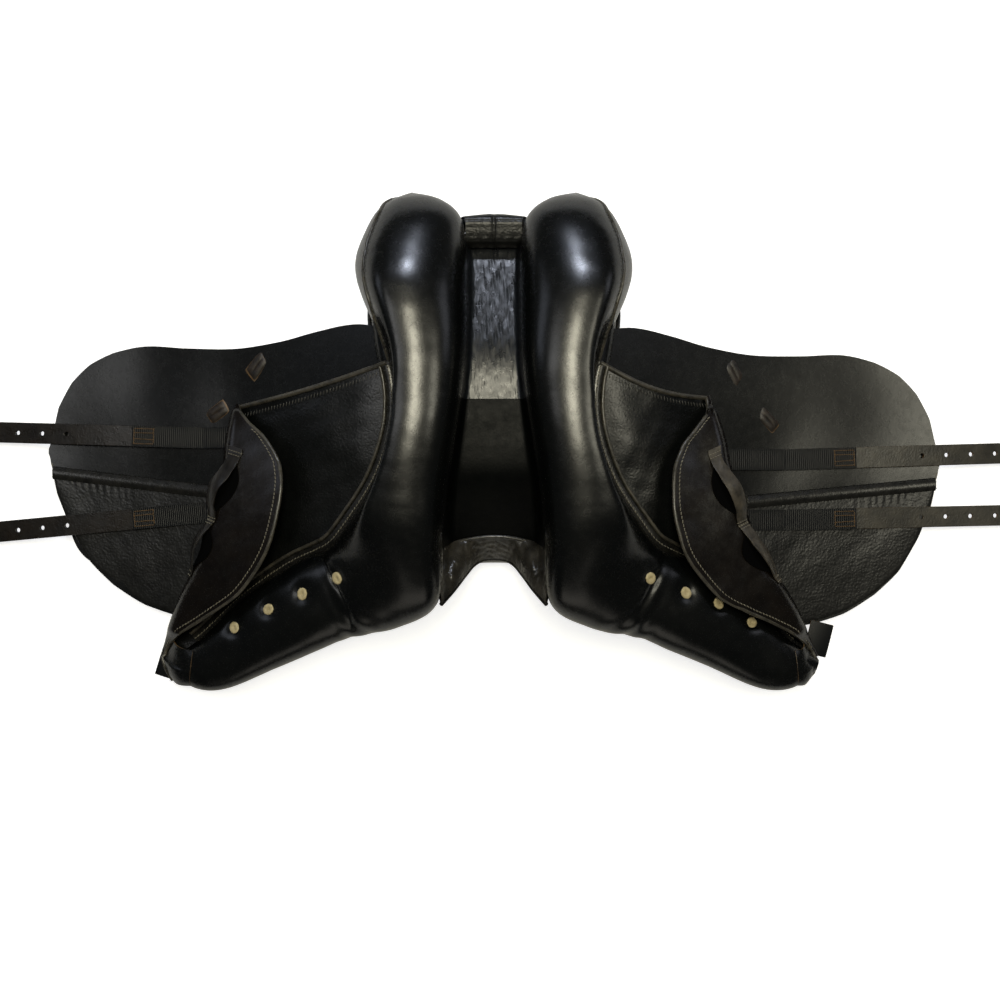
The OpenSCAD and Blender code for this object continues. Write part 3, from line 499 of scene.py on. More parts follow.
def sweat(side, v, t, lift=0):
    """Inner face of the sweat flap, CLEAR above the flap: t 0 to 1 from the seam in a low pillow, 1 to 2 round
    the fold, 2 to 3 turned back and still rising by RISE. A lift moves points through the hide, to its outer
    face."""
    fold, out, radius, back = curl_frame(side, v)
    seam = spline(PANEL, curve(SEAM, v)[..., 0])[..., 3:6]
    foot = fold - out * radius[..., None]
    flat = np.clip(t, 0, 1)
    plan = seam[..., :2] + flat[..., None] * (foot - seam[..., :2])
    plan = plan - np.stack([0 * v, LIMB[side]["rear_bow"] * np.sin(np.pi * flat) * (1 - v) ** 5], -1)
    gap = np.linalg.norm(plan - seam[..., :2], axis=-1)
    ground = flap_z(plan[..., 0]) + CLEAR
    level = flap_z(seam[..., 0]) + CLEAR
    z = ground + (seam[..., 2] - 5 - level) * np.exp(-(gap / 24) ** 2)
    z = z + 10 * np.sin(np.pi * flat) * np.clip(1.15 - 1.2 * v, 0, 1)
    turn = (np.pi - RISE) * (np.clip(t, 1, 2) - 1) - np.pi / 2
    bent = t > 1
    plan = plan + np.where(bent, np.cos(turn) * radius, 0)[..., None] * out
    z = z + np.where(bent, radius * (1 + np.sin(turn)), 0)
    over = np.clip(t - 2, 0, 1)
    plan = plan - (over * back)[..., None] * out
    z = z + back * over * (RISE + 0.05 * over)
    plan = plan + (lift * np.cos(turn))[..., None] * out
    return np.concatenate([plan, (z + lift * np.sin(turn))[..., None]], -1)


def fold_with(made):
    """Bakes the piece's transform into its mesh points."""
    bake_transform(made)


def lie(path, step):
    """Points every step mm along a path, with the path's direction at each."""
    path = np.asarray(path, float)
    run = np.concatenate([[0], np.cumsum(np.linalg.norm(np.diff(path, axis=0), axis=1))])
    at = np.arange(step / 2, run[-1], step)
    points = np.stack([np.interp(at, run, path[:, i]) for i in range(3)], -1)
    along = np.gradient(points, axis=0) if len(points) > 1 else points * 0 + [1, 0, 0]
    return points, unit(along)


def stitches(name, paths, material, side=1, pitch=5.0, length=3.6, radius=0.5, slant=0.18):
    """Sewing thread: a short rounded bar every pitch mm along the paths, each turned by slant from the row."""
    laid = [lie(path, pitch) for path in paths]
    centre = np.concatenate([points for points, along in laid])
    along = np.concatenate([along for points, along in laid])
    up = (0, 0, 1)
    along = unit(along + slant * unit(np.cross(along, up)))
    across = unit(np.cross(along, up))
    normal = np.cross(across, along)
    corners = 6
    turn = np.linspace(0, 2 * np.pi, corners, endpoint=False)
    s = np.array([-0.5, -0.36, 0.36, 0.5]) * length
    r = np.array([0.3, 1, 1, 0.3]) * radius
    bar = [np.repeat(s, corners), np.outer(r, np.cos(turn)).ravel(), np.outer(r, np.sin(turn)).ravel()]
    bar = np.stack(bar, -1)
    axes = np.stack([along, across, normal], 1)
    points = centre[:, None] + np.einsum("kc,ncd->nkd", bar, axes)
    start = len(bar) * np.arange(len(centre))[:, None, None]
    faces = (quads(len(s), corners, True)[:, ::-1] + start).reshape(-1, 4).tolist()
    caps = np.array([np.arange(corners), len(bar) - 1 - np.arange(corners)])
    faces += (caps + start).reshape(-1, corners).tolist()
    return piece(name, points, faces, [material], side)


# Pebbled hide: the inner face, black with its shine broken up by a plain grain about 2 mm across.
pebbled = leather("pebbled_black_hide", "#030403", "#080908", 0.27, 1.9, 0.22, uneven=0.03, billow_mm=0.3)
# Outer face of the same hide: worn smooth and brownish.
worn_brown = leather("worn_brown_hide", "#070504", "#120e0a", 0.26, 2.6, 0.05, drift_mm=30, uneven=0.05,
                     billow_mm=0.5)
# Rolled and cut edges: undyed hide showing tan where the dye has worn off.
raw_edge = leather("raw_hide_edge", "#3a2c1d", "#6d5537", 0.6, 2.0, 0.15, drift_mm=14)
# Welt hide: piping hide painted a lighter grey, a painted highlight along the cord where it catches the light.
welt_highlight_hide = leather("welt_hide_painted_highlight", "#201f1b", "#464239", 0.29, 2.4, 0.1, drift_mm=12)
# Waxed linen sewing thread, tan with wear.
thread = plain("tan_thread", ("#4c483d", "#807a6a"), 0.7, grain_mm=3, relief_mm=0.1)
# Black linen thread: dull, lighter where it lies on top.
black_thread = plain("black_thread", ("#1c1b19", "#3c3a34"), 0.5, grain_mm=3, relief_mm=0.1)

flat_fold_back = np.concatenate([np.linspace(0, 1, 70), np.linspace(1, 2, 33)[1:], np.linspace(2, 3, 48)[1:]])
v, t = grid(np.linspace(0, 1, 151), flat_fold_back)
for side, word in SIDES:
    hide = sweat(side, v, t)
    ripple = 0.6 * swells(hide, 60, 20 + side) + 0.25 * swells(hide, 22, 30 + side)
    hide[..., 2] += ripple * np.clip(4 * t, 0, 1)
    flap = sheet(word + "_sweat_hide", hide, [pebbled, worn_brown, raw_edge], SWEAT_T, side, flip=True,
                 back=1, rim=2, round_over=0.7)
    fold_with(flap)
    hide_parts(word + "_sweat_flap")

    line = np.linspace(0.004, 1, 160)
    rim = sweat(side, line, 3 + 0 * line) + [0, 0, SWEAT_T / 2]
    bead = tube(word + "_curl_piping", np.concatenate([rim, TIP[side]]), EDGE_R, welt_highlight_hide, side)
    fold_with(bead)
    inset = 3 - np.clip(6 / curl_frame(side, line)[3], 0, 0.95)
    sewn = sweat(side, line, inset, SWEAT_T + 0.4)[10:-6]
    tan_rows = stitches(word + "_curl_stitches", [sewn], thread, side, pitch=4.6, length=3.8, radius=0.6)
    rear = np.linspace(0.02, 1, 110)
    rear_edge = sweat(side, 0 * rear + 0.004, rear, -0.6)
    bound = tube(word + "_rear_binding", rear_edge, BINDING_R, welt_highlight_hide, side)
    beside = sweat(side, 0 * rear + 0.03, rear, -0.5)
    whip = stitches(word + "_rear_stitches", [beside], black_thread, side, pitch=4.2, length=5, slant=2.2)
    for made in (tan_rows, bound, whip):
        fold_with(made)

# Tip caps: the front tip of each sweat flap, a tongue of the same pebbled hide drawn round the end of the roll
# and tacked down there.
for side, word in SIDES:
    v = np.linspace(0.93, 1, 20)
    outer = lie(np.concatenate([sweat(side, v, 3 + 0 * v), TIP[side]]), 2)[0]
    share = np.linspace(0, 1, len(outer))
    inner = panel_skin(16.15 + 0 * share, np.radians(55 + 105 * share), side) + [0, 0, 0.8]
    w = np.linspace(0, 1, 15)[None, :, None]
    cap = outer[:, None] + (inner - outer)[:, None] * w + np.sin(np.pi * w) * [3, -2, 3]
    made = sheet(word + "_tip_cap", cap, [pebbled, pebbled, raw_edge], 1.6, side, rim=2)
    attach(made, word + "_sweat_flap")

# Sewn seam: a flat band of hide joins panel and sweat flap, stitched through beside the panel, with a piped
# welt along its outer edge. On the rear lobe the piping climbs round the gusset.
PIPING_R = 2.1


def offset_seam(reach, rise):
    """The panel's outer seam, evened by a running mean, moved reach mm outward in plan and up by rise."""
    rows = np.concatenate([np.linspace(4.93, 10.2, 110), np.linspace(12.7, 16.4, 80)])
    even = lie(spline(PANEL, rows)[:, 3:6], 1.6)[0]
    mean = np.ones(15) / 15
    outer = np.stack([np.convolve(even[:, i], mean, "valid") for i in range(3)], -1)
    along = np.gradient(outer, axis=0)[:, :2]
    square = unit(np.stack([-along[:, 1], along[:, 0]], -1))
    return np.concatenate([outer[:, :2] + square * reach, outer[:, 2:] + rise], -1)


shares = np.linspace(0, 1, 9)
strip = np.stack([offset_seam(-3 + 14 * s, -1.5 + 2.2 * np.sin(np.pi * s) - 1.5 * s) for s in shares], 1)
climb = np.linspace(0.3, 5.1, 100)
slope = np.radians(np.interp(climb, [0.3, 0.7, 1.5, 3, 4.2, 5.1], [-20, 25, 44, 47, 38, 14]))
for side, word in SIDES:
    band = sheet(word + "_seam_band", strip, [piping_leather], 2, side, flip=True)
    bead = tube(word + "_seam_welt", offset_seam(11.5, -1.4), PIPING_R, welt_highlight_hide, side)
    sewn = stitches(word + "_seam_stitches", [offset_seam(3.5, 0.8)], thread, side, pitch=4.6)
    if side > 0:
        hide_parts("panel_welts")
    for made in (band, bead, sewn):
        fold_with(made)

    piping = tube(word + "_lobe_piping", panel_skin(climb, slope, side), PIPING_R, welt_highlight_hide, side)
    beside = panel_skin(climb, slope + 0.1, side) + [0, 0, 0.3]
    rows_sewn = stitches(word + "_lobe_stitches", [beside], black_thread, side)
    for made in (piping, rows_sewn):
        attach(made, "saddle")

# Tuft washers: small cream felt discs that stop the tufting twine on the panel and along the roll.
# Each sits in the hollow its twine pulls, its rim frayed.
WASHER_R, WASHER_H = 6.8, 1.8


def disc(centre, normal, radius, height, seed):
    """Domed disc: rings shrinking to the middle as it rises by height, its rim uneven by a few per cent."""
    rng = np.random.default_rng(seed)
    normal = normal / np.linalg.norm(normal)
    across = np.cross(normal, [0, 1, 0])
    across /= np.linalg.norm(across)
    other = np.cross(normal, across)
    around = 28
    turn = np.linspace(0, 2 * np.pi, around, endpoint=False)
    rough = 1 + 0.06 * np.sin(2 * turn + rng.uniform(0, 6)) + 0.02 * rng.normal(size=around)
    reach = np.array([0.86, 1.0, 0.97, 0.75, 0.4, 0.12])
    rise = np.array([-1.2, 0, 0.55, 0.95, 0.8, 0.1]) * height
    ring = np.cos(turn)[:, None] * across + np.sin(turn)[:, None] * other
    points = centre + radius * reach[:, None, None] * (rough[:, None] * ring)[None]
    points = (points + rise[:, None, None] * normal).reshape(-1, 3)
    under = list(range(around))
    faces = quads(len(reach), around, True)[:, ::-1].tolist() + [under, [len(points) - 1 - i for i in under]]
    return points, faces


# Wool felt: cream with brown specks and a soft nap.
felt = plain("cream_felt", ("#6d5c36", "#cfc29a"), 0.9, grain_mm=4.5, relief_mm=0.9)
for side, word in SIDES:
    for number, (station, degrees) in enumerate(TUFTS[side]):
        stations = np.array([[station, station + 0.1], [station, station]])
        angles = np.radians([[degrees, degrees], [degrees + 6, degrees]])
        near = panel_point(stations, angles)
        normal = np.cross(near[1, 0] - near[0, 0], near[0, 1] - near[0, 0])
        centre = panel_skin(np.array([station]), np.radians([degrees]), side)[0]
        points, faces = disc(centre + [0, 0, 1], normal, WASHER_R, WASHER_H, 10 * number + side + 5)
        washer = piece(f"{word}_tuft_{number}", points, faces, [felt], side, sharp=70)
        bend_at_roll(washer)
        if number == 0:
            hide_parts(word + "_tufts", *(["panel_tufts"] if side > 0 else []))

# Billet guides: a narrow leather strip on the shoulder of each curl, sewn down at three places so that two
# open loops stand off between them for the girth billets. Under each loop a matt black patch is painted shade.
# Rows of a guide: share along the curl, place round it as in sweat, and how far the strip stands off the hide.
GUIDE = {1: [[.17, 2.1, 0], [.20, 2.09, .3], [.26, 2.02, 7], [.32, 1.95, 11], [.39, 1.91, 6], [.435, 1.92, .4],
             [.46, 1.89, .4], [.51, 1.82, 6], [.56, 1.77, 10], [.62, 1.73, 6], [.665, 1.7, .4], [.69, 1.68, 0]],
         -1: [[.15, 2.06, 0], [.18, 2.04, .3], [.25, 1.93, 8], [.31, 1.83, 12], [.38, 1.8, 7], [.425, 1.83, .4],
              [.45, 1.8, .4], [.50, 1.74, 6], [.55, 1.68, 10], [.60, 1.66, 6], [.645, 1.65, .4],
              [.67, 1.63, 0]]}
LOOPS = {1: [(.20, .435), (.46, .665)], -1: [(.18, .425), (.45, .645)]}
GUIDE_HALF, GUIDE_T = 6.5, 1.8
# Guide leather: the left strip nearly black, the right one greyed and worn at its edges.
guide_dark = leather("guide_hide_black", "#0b0a09", "#1d1a16", 0.32, 2.4, 0.2, drift_mm=12)
guide_grey = leather("guide_hide_grey", "#1d1b17", "#474137", 0.38, 2.4, 0.25, drift_mm=12)
# Painted shade: a matt black patch with no shine, standing for the shadow inside each loop.
loop_shade_hide = plain("painted_loop_shade", ("#010101", "#030303"), 0.95, grain_mm=2, relief_mm=0.2, gloss=0.05)
for side, word in SIDES:
    table = np.array(GUIDE[side], float)
    first, last = table[0, 0], table[-1, 0]
    v, w = grid(np.linspace(first, last, 161), np.linspace(-1, 1, 11))
    middle, stand = np.moveaxis(curve(table, v), -1, 0)
    half_mm = GUIDE_HALF + 1.5 * np.exp(-(np.minimum(v - first, last - v) / 0.03) ** 2)
    half = half_mm / (np.pi * curl_frame(side, v)[2])
    strip = sweat(side, v, middle + w * half, SWEAT_T + 2 + stand)
    guide = sheet(word + "_guide_strip", strip, [guide_grey if side > 0 else guide_dark], GUIDE_T, side)
    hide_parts(word + "_billet_guide")
    marks = [mark for start, end in LOOPS[side] for mark in (start, start - 0.015, end, end + 0.015)]
    lines = [strip[np.abs(v[:, 0] - mark).argmin()] + [0, 0, 0.3] for mark in marks]
    sewn = stitches(word + "_guide_stitches", lines, thread, side, pitch=3.2, length=2.4)
    for made in (guide, sewn):
        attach(made, word + "_sweat_flap")
    for number, (start, end) in enumerate(LOOPS[side]):
        v, w = grid(np.linspace(start, end, 61), np.linspace(0, 1, 15))
        swell = np.sin(np.pi * (v - start) / (end - start)) ** 0.8
        near = curve(table, v)[..., 0] - 0.1
        patch = sweat(side, v, near + w * (0.02 + 0.36 * swell), SWEAT_T + 1.5)
        # Painted shadow: a black patch on the curl where the loop shades it.
        worn = sheet(f"{word}_guide_loop_shade_{number}", patch, [loop_shade_hide], 0.4, side, round_over=0.1)
        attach(worn, word + "_sweat_flap")

# Saddle flaps: stout smooth hide, its upper face here the one that lies against the sweat flap.
# The lower front half carries a soft grained facing under a piped band; cut edges show tan.
# Rows of the flap: x, and y of its rear and of its front edge.
FLAP = [[114, 128, 94], [128, 133, 40], [160, 137, -78], [201, 131, -150], [250, 120, -188], [305, 113, -205],
        [366, 114, -209], [420, 117, -195], [460, 109, -171], [490, 94, -143], [512, 72, -106], [528, 42, -66],
        [537, 4, -26], [540, -8, -14]]
FLAP_T, FLAP_REACH, FLAP_SKEW = 3.5, 537, 7
FACING_T, FACING_PIPING_R, BAND_WIDE = 1.6, 2.3, 13


def skew(side, x):
    """How far the flap leans at x: evenly up to FLAP_SKEW at its end, forward on the right, back on the
    left."""
    return side * FLAP_SKEW * x / FLAP_REACH


def flap_edge(side, x):
    """Rear and front edge of the flap at x: smooth curves through FLAP, both leaning by the skew."""
    return curve(FLAP, x) - skew(side, x)[..., None]


def facing_top(side, x):
    """Upper edge of the facing at x: a straight line that rises outward and leans by the skew."""
    return np.interp(x, [300, 536], [-56, -31]) - skew(side, x)


# Flap hide: smooth, dark, with a cloudy waxed sheen; the right one has browned.
flap_dark = leather("flap_hide_left", "#050505", "#0d0d0c", 0.265, 2.2, 0.012, drift_mm=80, uneven=0.06)
flap_brown = leather("flap_hide_right", "#060605", "#100f0c", 0.265, 2.2, 0.012, drift_mm=80, uneven=0.06)
# Facing: thin soft hide with a bold grain.
facing_hide = leather("soft_grained_hide", "#0b0b0a", "#181816", 0.34, 2.7, 0.4, drift_mm=60, billow_mm=0.9)
x, w = grid(119 + 421 * np.sin(np.linspace(0, np.pi / 2, 131)), np.linspace(0, 1, 91))
for side, word in SIDES:
    edge = flap_edge(side, x)
    y = edge[..., 0] + (edge[..., 1] - edge[..., 0]) * w
    face = np.stack([x, y, flap_z(x)], -1)
    face[..., 2] += 1.4 * swells(face, 130, 40 + side) * np.clip((x - 200) / 100, 0, 1)
    hides = [flap_brown if side > 0 else flap_dark, panel_leather, raw_edge]
    flap = sheet(word + "_flap_hide", face, hides, FLAP_T, side, flip=True, back=1, rim=2, round_over=0.8)
    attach(flap, word + "_flap")
    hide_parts(word + "_flap")

    along = np.linspace(300, 534, 121)
    xf, wf = grid(along, np.linspace(0, 1, 71))
    top = facing_top(side, xf)
    front = flap_edge(side, xf)[..., 1] + 3.5
    puff = np.sin(np.pi * np.clip(wf, 0, 1)) ** 0.4
    soft = np.stack([xf, top + (np.minimum(front, top - 1) - top) * wf, flap_z(xf)], -1)
    crumple = 0.5 * swells(soft * [1, 1, 0], 60, 50 + side) + 0.12 * swells(soft * [1, 1, 0], 18, 60 + side)
    near_band = np.exp(-((wf - 0.13) / 0.09) ** 2) * np.clip((xf - 420) / 60, 0, 1)
    gather = 0.4 * np.sin(2 * np.pi * (xf / 9 + 1.2 * wf)) * near_band
    soft[..., 2] += 3.2 + puff * (1.6 + crumple + gather)
    facing = sheet(word + "_facing", soft, [facing_hide], FACING_T, side, flip=True)
    ridge = np.stack([along, facing_top(side, along), flap_z(along) + 4], -1)
    piping = tube(word + "_facing_piping", ridge, FACING_PIPING_R, piping_leather, side)
    wb = np.linspace(0, 1, 9)
    lap = ridge[:, None] + np.stack([0 * wb, -BAND_WIDE * wb, FACING_T + 1.4 * np.sin(np.pi * wb)], -1)
    band = sheet(word + "_facing_band", lap, [piping_leather], FACING_T, side, flip=True)
    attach(band, word + "_flap")
    sewn = stitches(word + "_facing_stitches", [ridge + [0, -10.5, 2.4]], thread, side)
    hem_x = np.concatenate([np.linspace(330, 500, 90), np.linspace(500, 536, 50)])
    hem = [np.stack([hem_x, flap_edge(side, hem_x)[..., 1] + 6, flap_z(hem_x) + 4.6], -1)]
    hem_sewn = stitches(word + "_hem_stitches", hem, thread, side)
    for made in (facing, piping, sewn, hem_sewn):
        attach(made, word + "_flap")
    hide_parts(word + "_flap_facing")

# Stirrup-leather keepers: a strap on the flap's outer face whose two ends come through slits and are
# folded flat as brown diamonds on the upper face.
DIAMOND = {1: [[(283, 103), (274, 93.5), (286, 71), (294, 84)], [(320, 48), (317, 34), (331, 19.5), (339, 28)]],
           -1: [[(276, 111), (270, 99), (283, 80.5), (292, 92)], [(324, 54), (318, 43), (335, 30), (343, 41)]]}
KEEPER_MID, KEEPER_HEADING = np.array([304, 62]), np.array([0.65, -0.76])
KEEPER_LEN, KEEPER_WIDE = 72, 20
# Keeper leather: brown, worn pale at the edges.
keeper_hide = leather("brown_keeper_hide", "#0e0a07", "#261c11", 0.5, 2.0, 0.2, drift_mm=9)
for side, word in SIDES:
    for number, corners in enumerate(DIAMOND[side]):
        a, b, c, d = (np.array(corner, float) for corner in corners)
        p, q = grid(np.linspace(0, 1, 17), np.linspace(0, 1, 17))
        plan = (a + p[..., None] * (b - a)) * (1 - q[..., None]) + (d + p[..., None] * (c - d)) * q[..., None]
        plan = plan.mean((0, 1)) + 1.2 * (plan - plan.mean((0, 1)))
        pillow = (1 - (2 * p - 1) ** 4) * (1 - (2 * q - 1) ** 4)
        slit = np.exp(-(((p - 0.5) / 0.09) ** 2)) * np.clip(1.3 - np.abs(2 * q - 1) * 1.6, 0, 1)
        z = flap_z(plan[..., 0]) + 0.8 + 2.6 * pillow - 2.0 * slit
        end = sheet(f"{word}_keeper_end_{number}", np.concatenate([plan, z[..., None]], -1),
                    [keeper_hide, keeper_hide, raw_edge], 2, side, rim=2)
        rim_cells = np.pad(np.zeros((14, 14), int), 1, constant_values=2)
        end.data.polygons.foreach_set("material_index", rim_cells.ravel())
        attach(end, word + "_flap")
        if number == 0:
            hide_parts(word + "_keeper")

    run, across = grid(np.linspace(-0.5, 0.5, 37) * KEEPER_LEN, np.linspace(-0.5, 0.5, 9) * KEEPER_WIDE)
    sideways = [-KEEPER_HEADING[1], KEEPER_HEADING[0]]
    plan = KEEPER_MID + run[..., None] * KEEPER_HEADING + across[..., None] * sideways
    z = flap_z(plan[..., 0]) - FLAP_T - 0.6 - 3 * np.cos(np.pi * run / KEEPER_LEN)
    loop = sheet(word + "_keeper_strap", np.concatenate([plan, z[..., None]], -1), [keeper_hide], 2.2, side,
                 flip=True)
    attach(loop, word + "_flap")

# Knee blocks: oval foam pads under black hide, sewn to the outer face of the flaps, which is turned to the
# ground here. Each is flat against its flap and domed below.
KNEE_X, KNEE_Y, KNEE_HALF_X, KNEE_HALF_Y = 462, -60, 58, 84
ROWS, AROUND = 49, 72
share, turn = grid(np.linspace(0.02, 1.98, ROWS), np.linspace(0, 2 * np.pi, AROUND, endpoint=False))
spread = np.where(share < 1, share, 2 - share)
x = KNEE_X + KNEE_HALF_X * spread * np.sign(np.cos(turn)) * np.abs(np.cos(turn)) ** 0.8
y = KNEE_Y + KNEE_HALF_Y * spread * np.sign(np.sin(turn)) * np.abs(np.sin(turn)) ** 0.8
upper = flap_z(x) - FLAP_T - 0.6
depth = (upper - 0.6) * np.where(share < 1, 0, (1 - spread ** 4) ** 0.5)
points = np.stack([x, y, upper - depth], -1)
last = (ROWS - 1) * AROUND
faces = quads(ROWS, AROUND, True).tolist()
faces += [list(range(AROUND - 1, -1, -1)), list(range(last, last + AROUND))]
for side, word in SIDES:
    block = piece(word + "_knee_pad", points, faces, [panel_leather], side)
    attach(block, word + "_flap")
    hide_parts(word + "_knee_block")

# Girth billets: straps of bridle leather punched with seven holes, sewn to ribbed nylon webs that run up
# between the flaps. The sewing is a brown box pattern, frayed with use.
# Billets: side, name, y at the fold and y at the strap's end.
BILLETS = [[-1, "left_rear", 11, 24], [-1, "left_front", -78, -115], [1, "right_rear", -15, -2],
           [1, "right_front", -87, -79]]
START_X, REACH, WEB_LEN, LAP, WIDE, THICK = 347, 745, 88, 30, 25, 4
FIRST_HOLE, HOLE_PITCH, HOLE_R = 82, 31, 2.7
HOLES = WEB_LEN + FIRST_HOLE + HOLE_PITCH * np.arange(7)
POINT, WEB_T, RIB_PITCH = 15, 1.9, 2.4


def billet_line(y0, y1, s, across, lift):
    """Place on a billet, and the billet's length: s mm from the fold on a straight line to the ground, across
    its width and lift above its middle, in slow waves that die out at both ends."""
    z0 = flap_z(np.array(START_X)) + 4.5
    end = np.array([REACH - START_X, y1 - y0, 3 - z0])
    length = np.linalg.norm(end)
    along = end / length
    sideways = np.array([-along[1], along[0], 0]) / np.hypot(along[0], along[1])
    s = np.asarray(s, float)
    wave = 1.6 * np.sin(s * 0.021 + y0) * np.clip(s / 120, 0, 1) * np.clip((length - s) / 120, 0, 1)
    place = np.array([START_X, y0, z0]) + s[..., None] * along + np.asarray(across)[..., None] * sideways
    return place + (lift + wave)[..., None] * [0, 0, 1], length


def strap_plan(start, length):
    """Flat strap as points (along, across) and quads: a ring of cells round each hole, plain cells between."""
    side = np.linspace(-1, 1, 9)[:-1]
    one = 1 + 0 * side
    square = [np.stack([side, -one], -1), np.stack([one, side], -1), np.stack([-side, one], -1),
              np.stack([-one, -side], -1)]
    square = np.concatenate(square) * WIDE / 2
    turn = np.arctan2(square[:, 1], square[:, 0])
    hole = np.stack([np.cos(turn), np.sin(turn)], -1) * HOLE_R
    rings = np.stack([hole + (square - hole) * f for f in (0, 0.16, 0.4, 0.7, 1)])
    stops = np.concatenate([[start], np.stack([HOLES - WIDE / 2, HOLES + WIDE / 2], -1).ravel(), [length]])
    points, faces, used = [], [], 0
    for centre in HOLES:
        points.append((rings + [centre, 0]).reshape(-1, 2))
        faces.append(quads(*rings.shape[:2], True)[:, ::-1] + used)
        used += len(points[-1])
    for a, b in stops.reshape(-1, 2):
        count = max(2, int((b - a) / 4) + 1)
        s, w = grid(np.linspace(a, b, count), np.linspace(-1, 1, 9) * WIDE / 2)
        points.append(np.stack([s, w], -1).reshape(-1, 2))
        faces.append(quads(*s.shape)[:, ::-1] + used)
        used += len(points[-1])
    points, merged = np.unique(np.round(np.concatenate(points), 4), axis=0, return_inverse=True)
    return points, merged.ravel()[np.concatenate(faces)]


# Bridle leather: firm and close-grained, the left straps dark brown, the right ones greyed with wear.
strap_dark = leather("bridle_hide_dark", "#0e0c09", "#1b1610", 0.3, 1.9, 0.2, drift_mm=22)
strap_grey = leather("bridle_hide_grey", "#1c1a15", "#38342b", 0.36, 1.9, 0.25, drift_mm=22)
# Nylon webbing: black with a bluish shine on its ribs.
nylon = plain("ribbed_nylon", ("#030405", "#090b0e"), 0.45, grain_mm=3, relief_mm=0.1, gloss=0.2)
# Frayed brown thread of the box sewing.
frayed = plain("frayed_brown_thread", ("#2e2110", "#735631"), 0.8, grain_mm=3, relief_mm=0.3)
for side, name, y0, y1 in BILLETS:
    length = billet_line(y0, y1, 0.0, 0.0, 0)[1]
    plan, faces = strap_plan(WEB_LEN - LAP, length)
    s, w = plan[:, 0], plan[:, 1]
    point = np.clip((s - (length - POINT)) / POINT, 0, 1)
    w = w * (1 - 0.8 * point ** 1.6)
    hides = [strap_grey, strap_dark, raw_edge] if side > 0 else [strap_dark] * 3
    strap = piece(name + "_strap", billet_line(y0, y1, s, w, THICK / 2 + 0 * s)[0], faces.tolist(), hides, side)
    leaf(strap, THICK, back=1, rim=2, round_over=0.8)
    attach(strap, name + "_billet")
    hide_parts(name + "_billet")
    inner = START_X - (122 + 74 * (100 - y0) / 290 + 14)
    s, w = grid(np.linspace(-inner, WEB_LEN, 1051), np.linspace(-1, 1, 9) * WIDE / 2)
    rib = 0.18 * np.cos(2 * np.pi * s / RIB_PITCH) * (1 - (2 * w / WIDE) ** 8)
    outer_run = billet_line(y0, y1, np.maximum(s, 0), w, THICK / 2 + 2 + rib)[0]
    inner_run = np.stack([START_X + s, y0 + w, flap_z(START_X + s) + CLEAR - SWEAT_T - 0.5 + rib], -1)
    share = np.clip((s + 4) / 8, 0, 1)[..., None]
    run = inner_run + (outer_run - inner_run) * share
    web = sheet(name + "_ribbed_web", run, [nylon], WEB_T, side, flip=True, sharp=89)
    word = name.split("_")[0]
    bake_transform(web)
    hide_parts(name + "_web", *([word + "_girth_webs"] if name.endswith("rear") else []))
    left, right = WEB_LEN - LAP + 3, WEB_LEN - 3
    box = [[(left, -9), (right, -9)], [(right, -9), (right, 9)], [(right, 9), (left, 9)],
           [(left, 9), (left, -9)], [(left, -4), (right, -3)], [(left, 4), (right, 4)]]
    step = np.linspace(0, 1, 20)
    rows_sewn = []
    for a, b in box:
        s = a[0] + (b[0] - a[0]) * step
        w = a[1] + (b[1] - a[1]) * step
        rows_sewn.append(billet_line(y0, y1, s, w, THICK / 2 + 2.6 + 0 * step)[0])
    sewn = stitches(name + "_box_stitches", rows_sewn, frayed, side, pitch=2.8, length=2.6, slant=0.35)
    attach(sewn, name + "_billet")

# Point tabs: short offcuts of black nylon web sewn under the tips of the sweat flaps, their cut ends pale.
# Each lies a little askew and bowed across its width.
TABS = {1: (388, -229, -0.25), -1: (387, -256, 0.3)}
TAB_Z, TAB_LEN, TAB_WIDE, TAB_T = 41, 40, 28, 3
for side, word in SIDES:
    x, y, turn = TABS[side]
    s, w = grid(np.linspace(-0.5, 0.5, 21) * TAB_LEN, np.linspace(-0.5, 0.5, 13) * TAB_WIDE)
    bow = 1.5 * np.cos(np.pi * w / TAB_WIDE) - 0.002 * s ** 2
    c, r = np.cos(turn), np.sin(turn)
    points = np.stack([x + w * c - s * r, y + w * r + s * c, TAB_Z + bow], -1)
    tab = sheet(word + "_strap_tab", points, [nylon, nylon, raw_edge], TAB_T, side, rim=2, round_over=0.6)
    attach(tab, word + "_sweat_flap")
    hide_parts(word + "_point_tab")

# Channel leather: the seat's underside between the panels. Its rear half is blue-grey hide gathered in long
# wrinkles, its front half smooth black hide that laps under it.
# Rows of the channel: y, heights of its floor and of its sides. Rows of the inner edge: y, half the gap.
CHANNEL = [[236, 71, 108], [206, 78.5, 124], [176, 86.2, 130], [146, 94, 133], [116, 101.5, 136.5],
           [86, 105.8, 139], [56, 107, 140], [26, 108.5, 141], [-4, 108, 140.5], [-34, 104.5, 140],
           [-64, 92, 139], [-94, 74, 139], [-124, 61, 139]]
INNER = [[240, 33], [219, 31], [167, 30], [103, 31], [54, 36], [13, 42], [-46, 51], [-108, 57]]
FRONT_BOW = 12


def channel_point(y, q):
    """Channel floor: across q of the gap between the panels, its sides climbing as the 18th power of q."""
    low, high = np.moveaxis(curve(CHANNEL[::-1], y), -1, 0)
    x = q * (curve(INNER[::-1], y)[..., 0] + 2)
    return np.stack([x, y, low + (high - low) * np.abs(q) ** 18], -1)


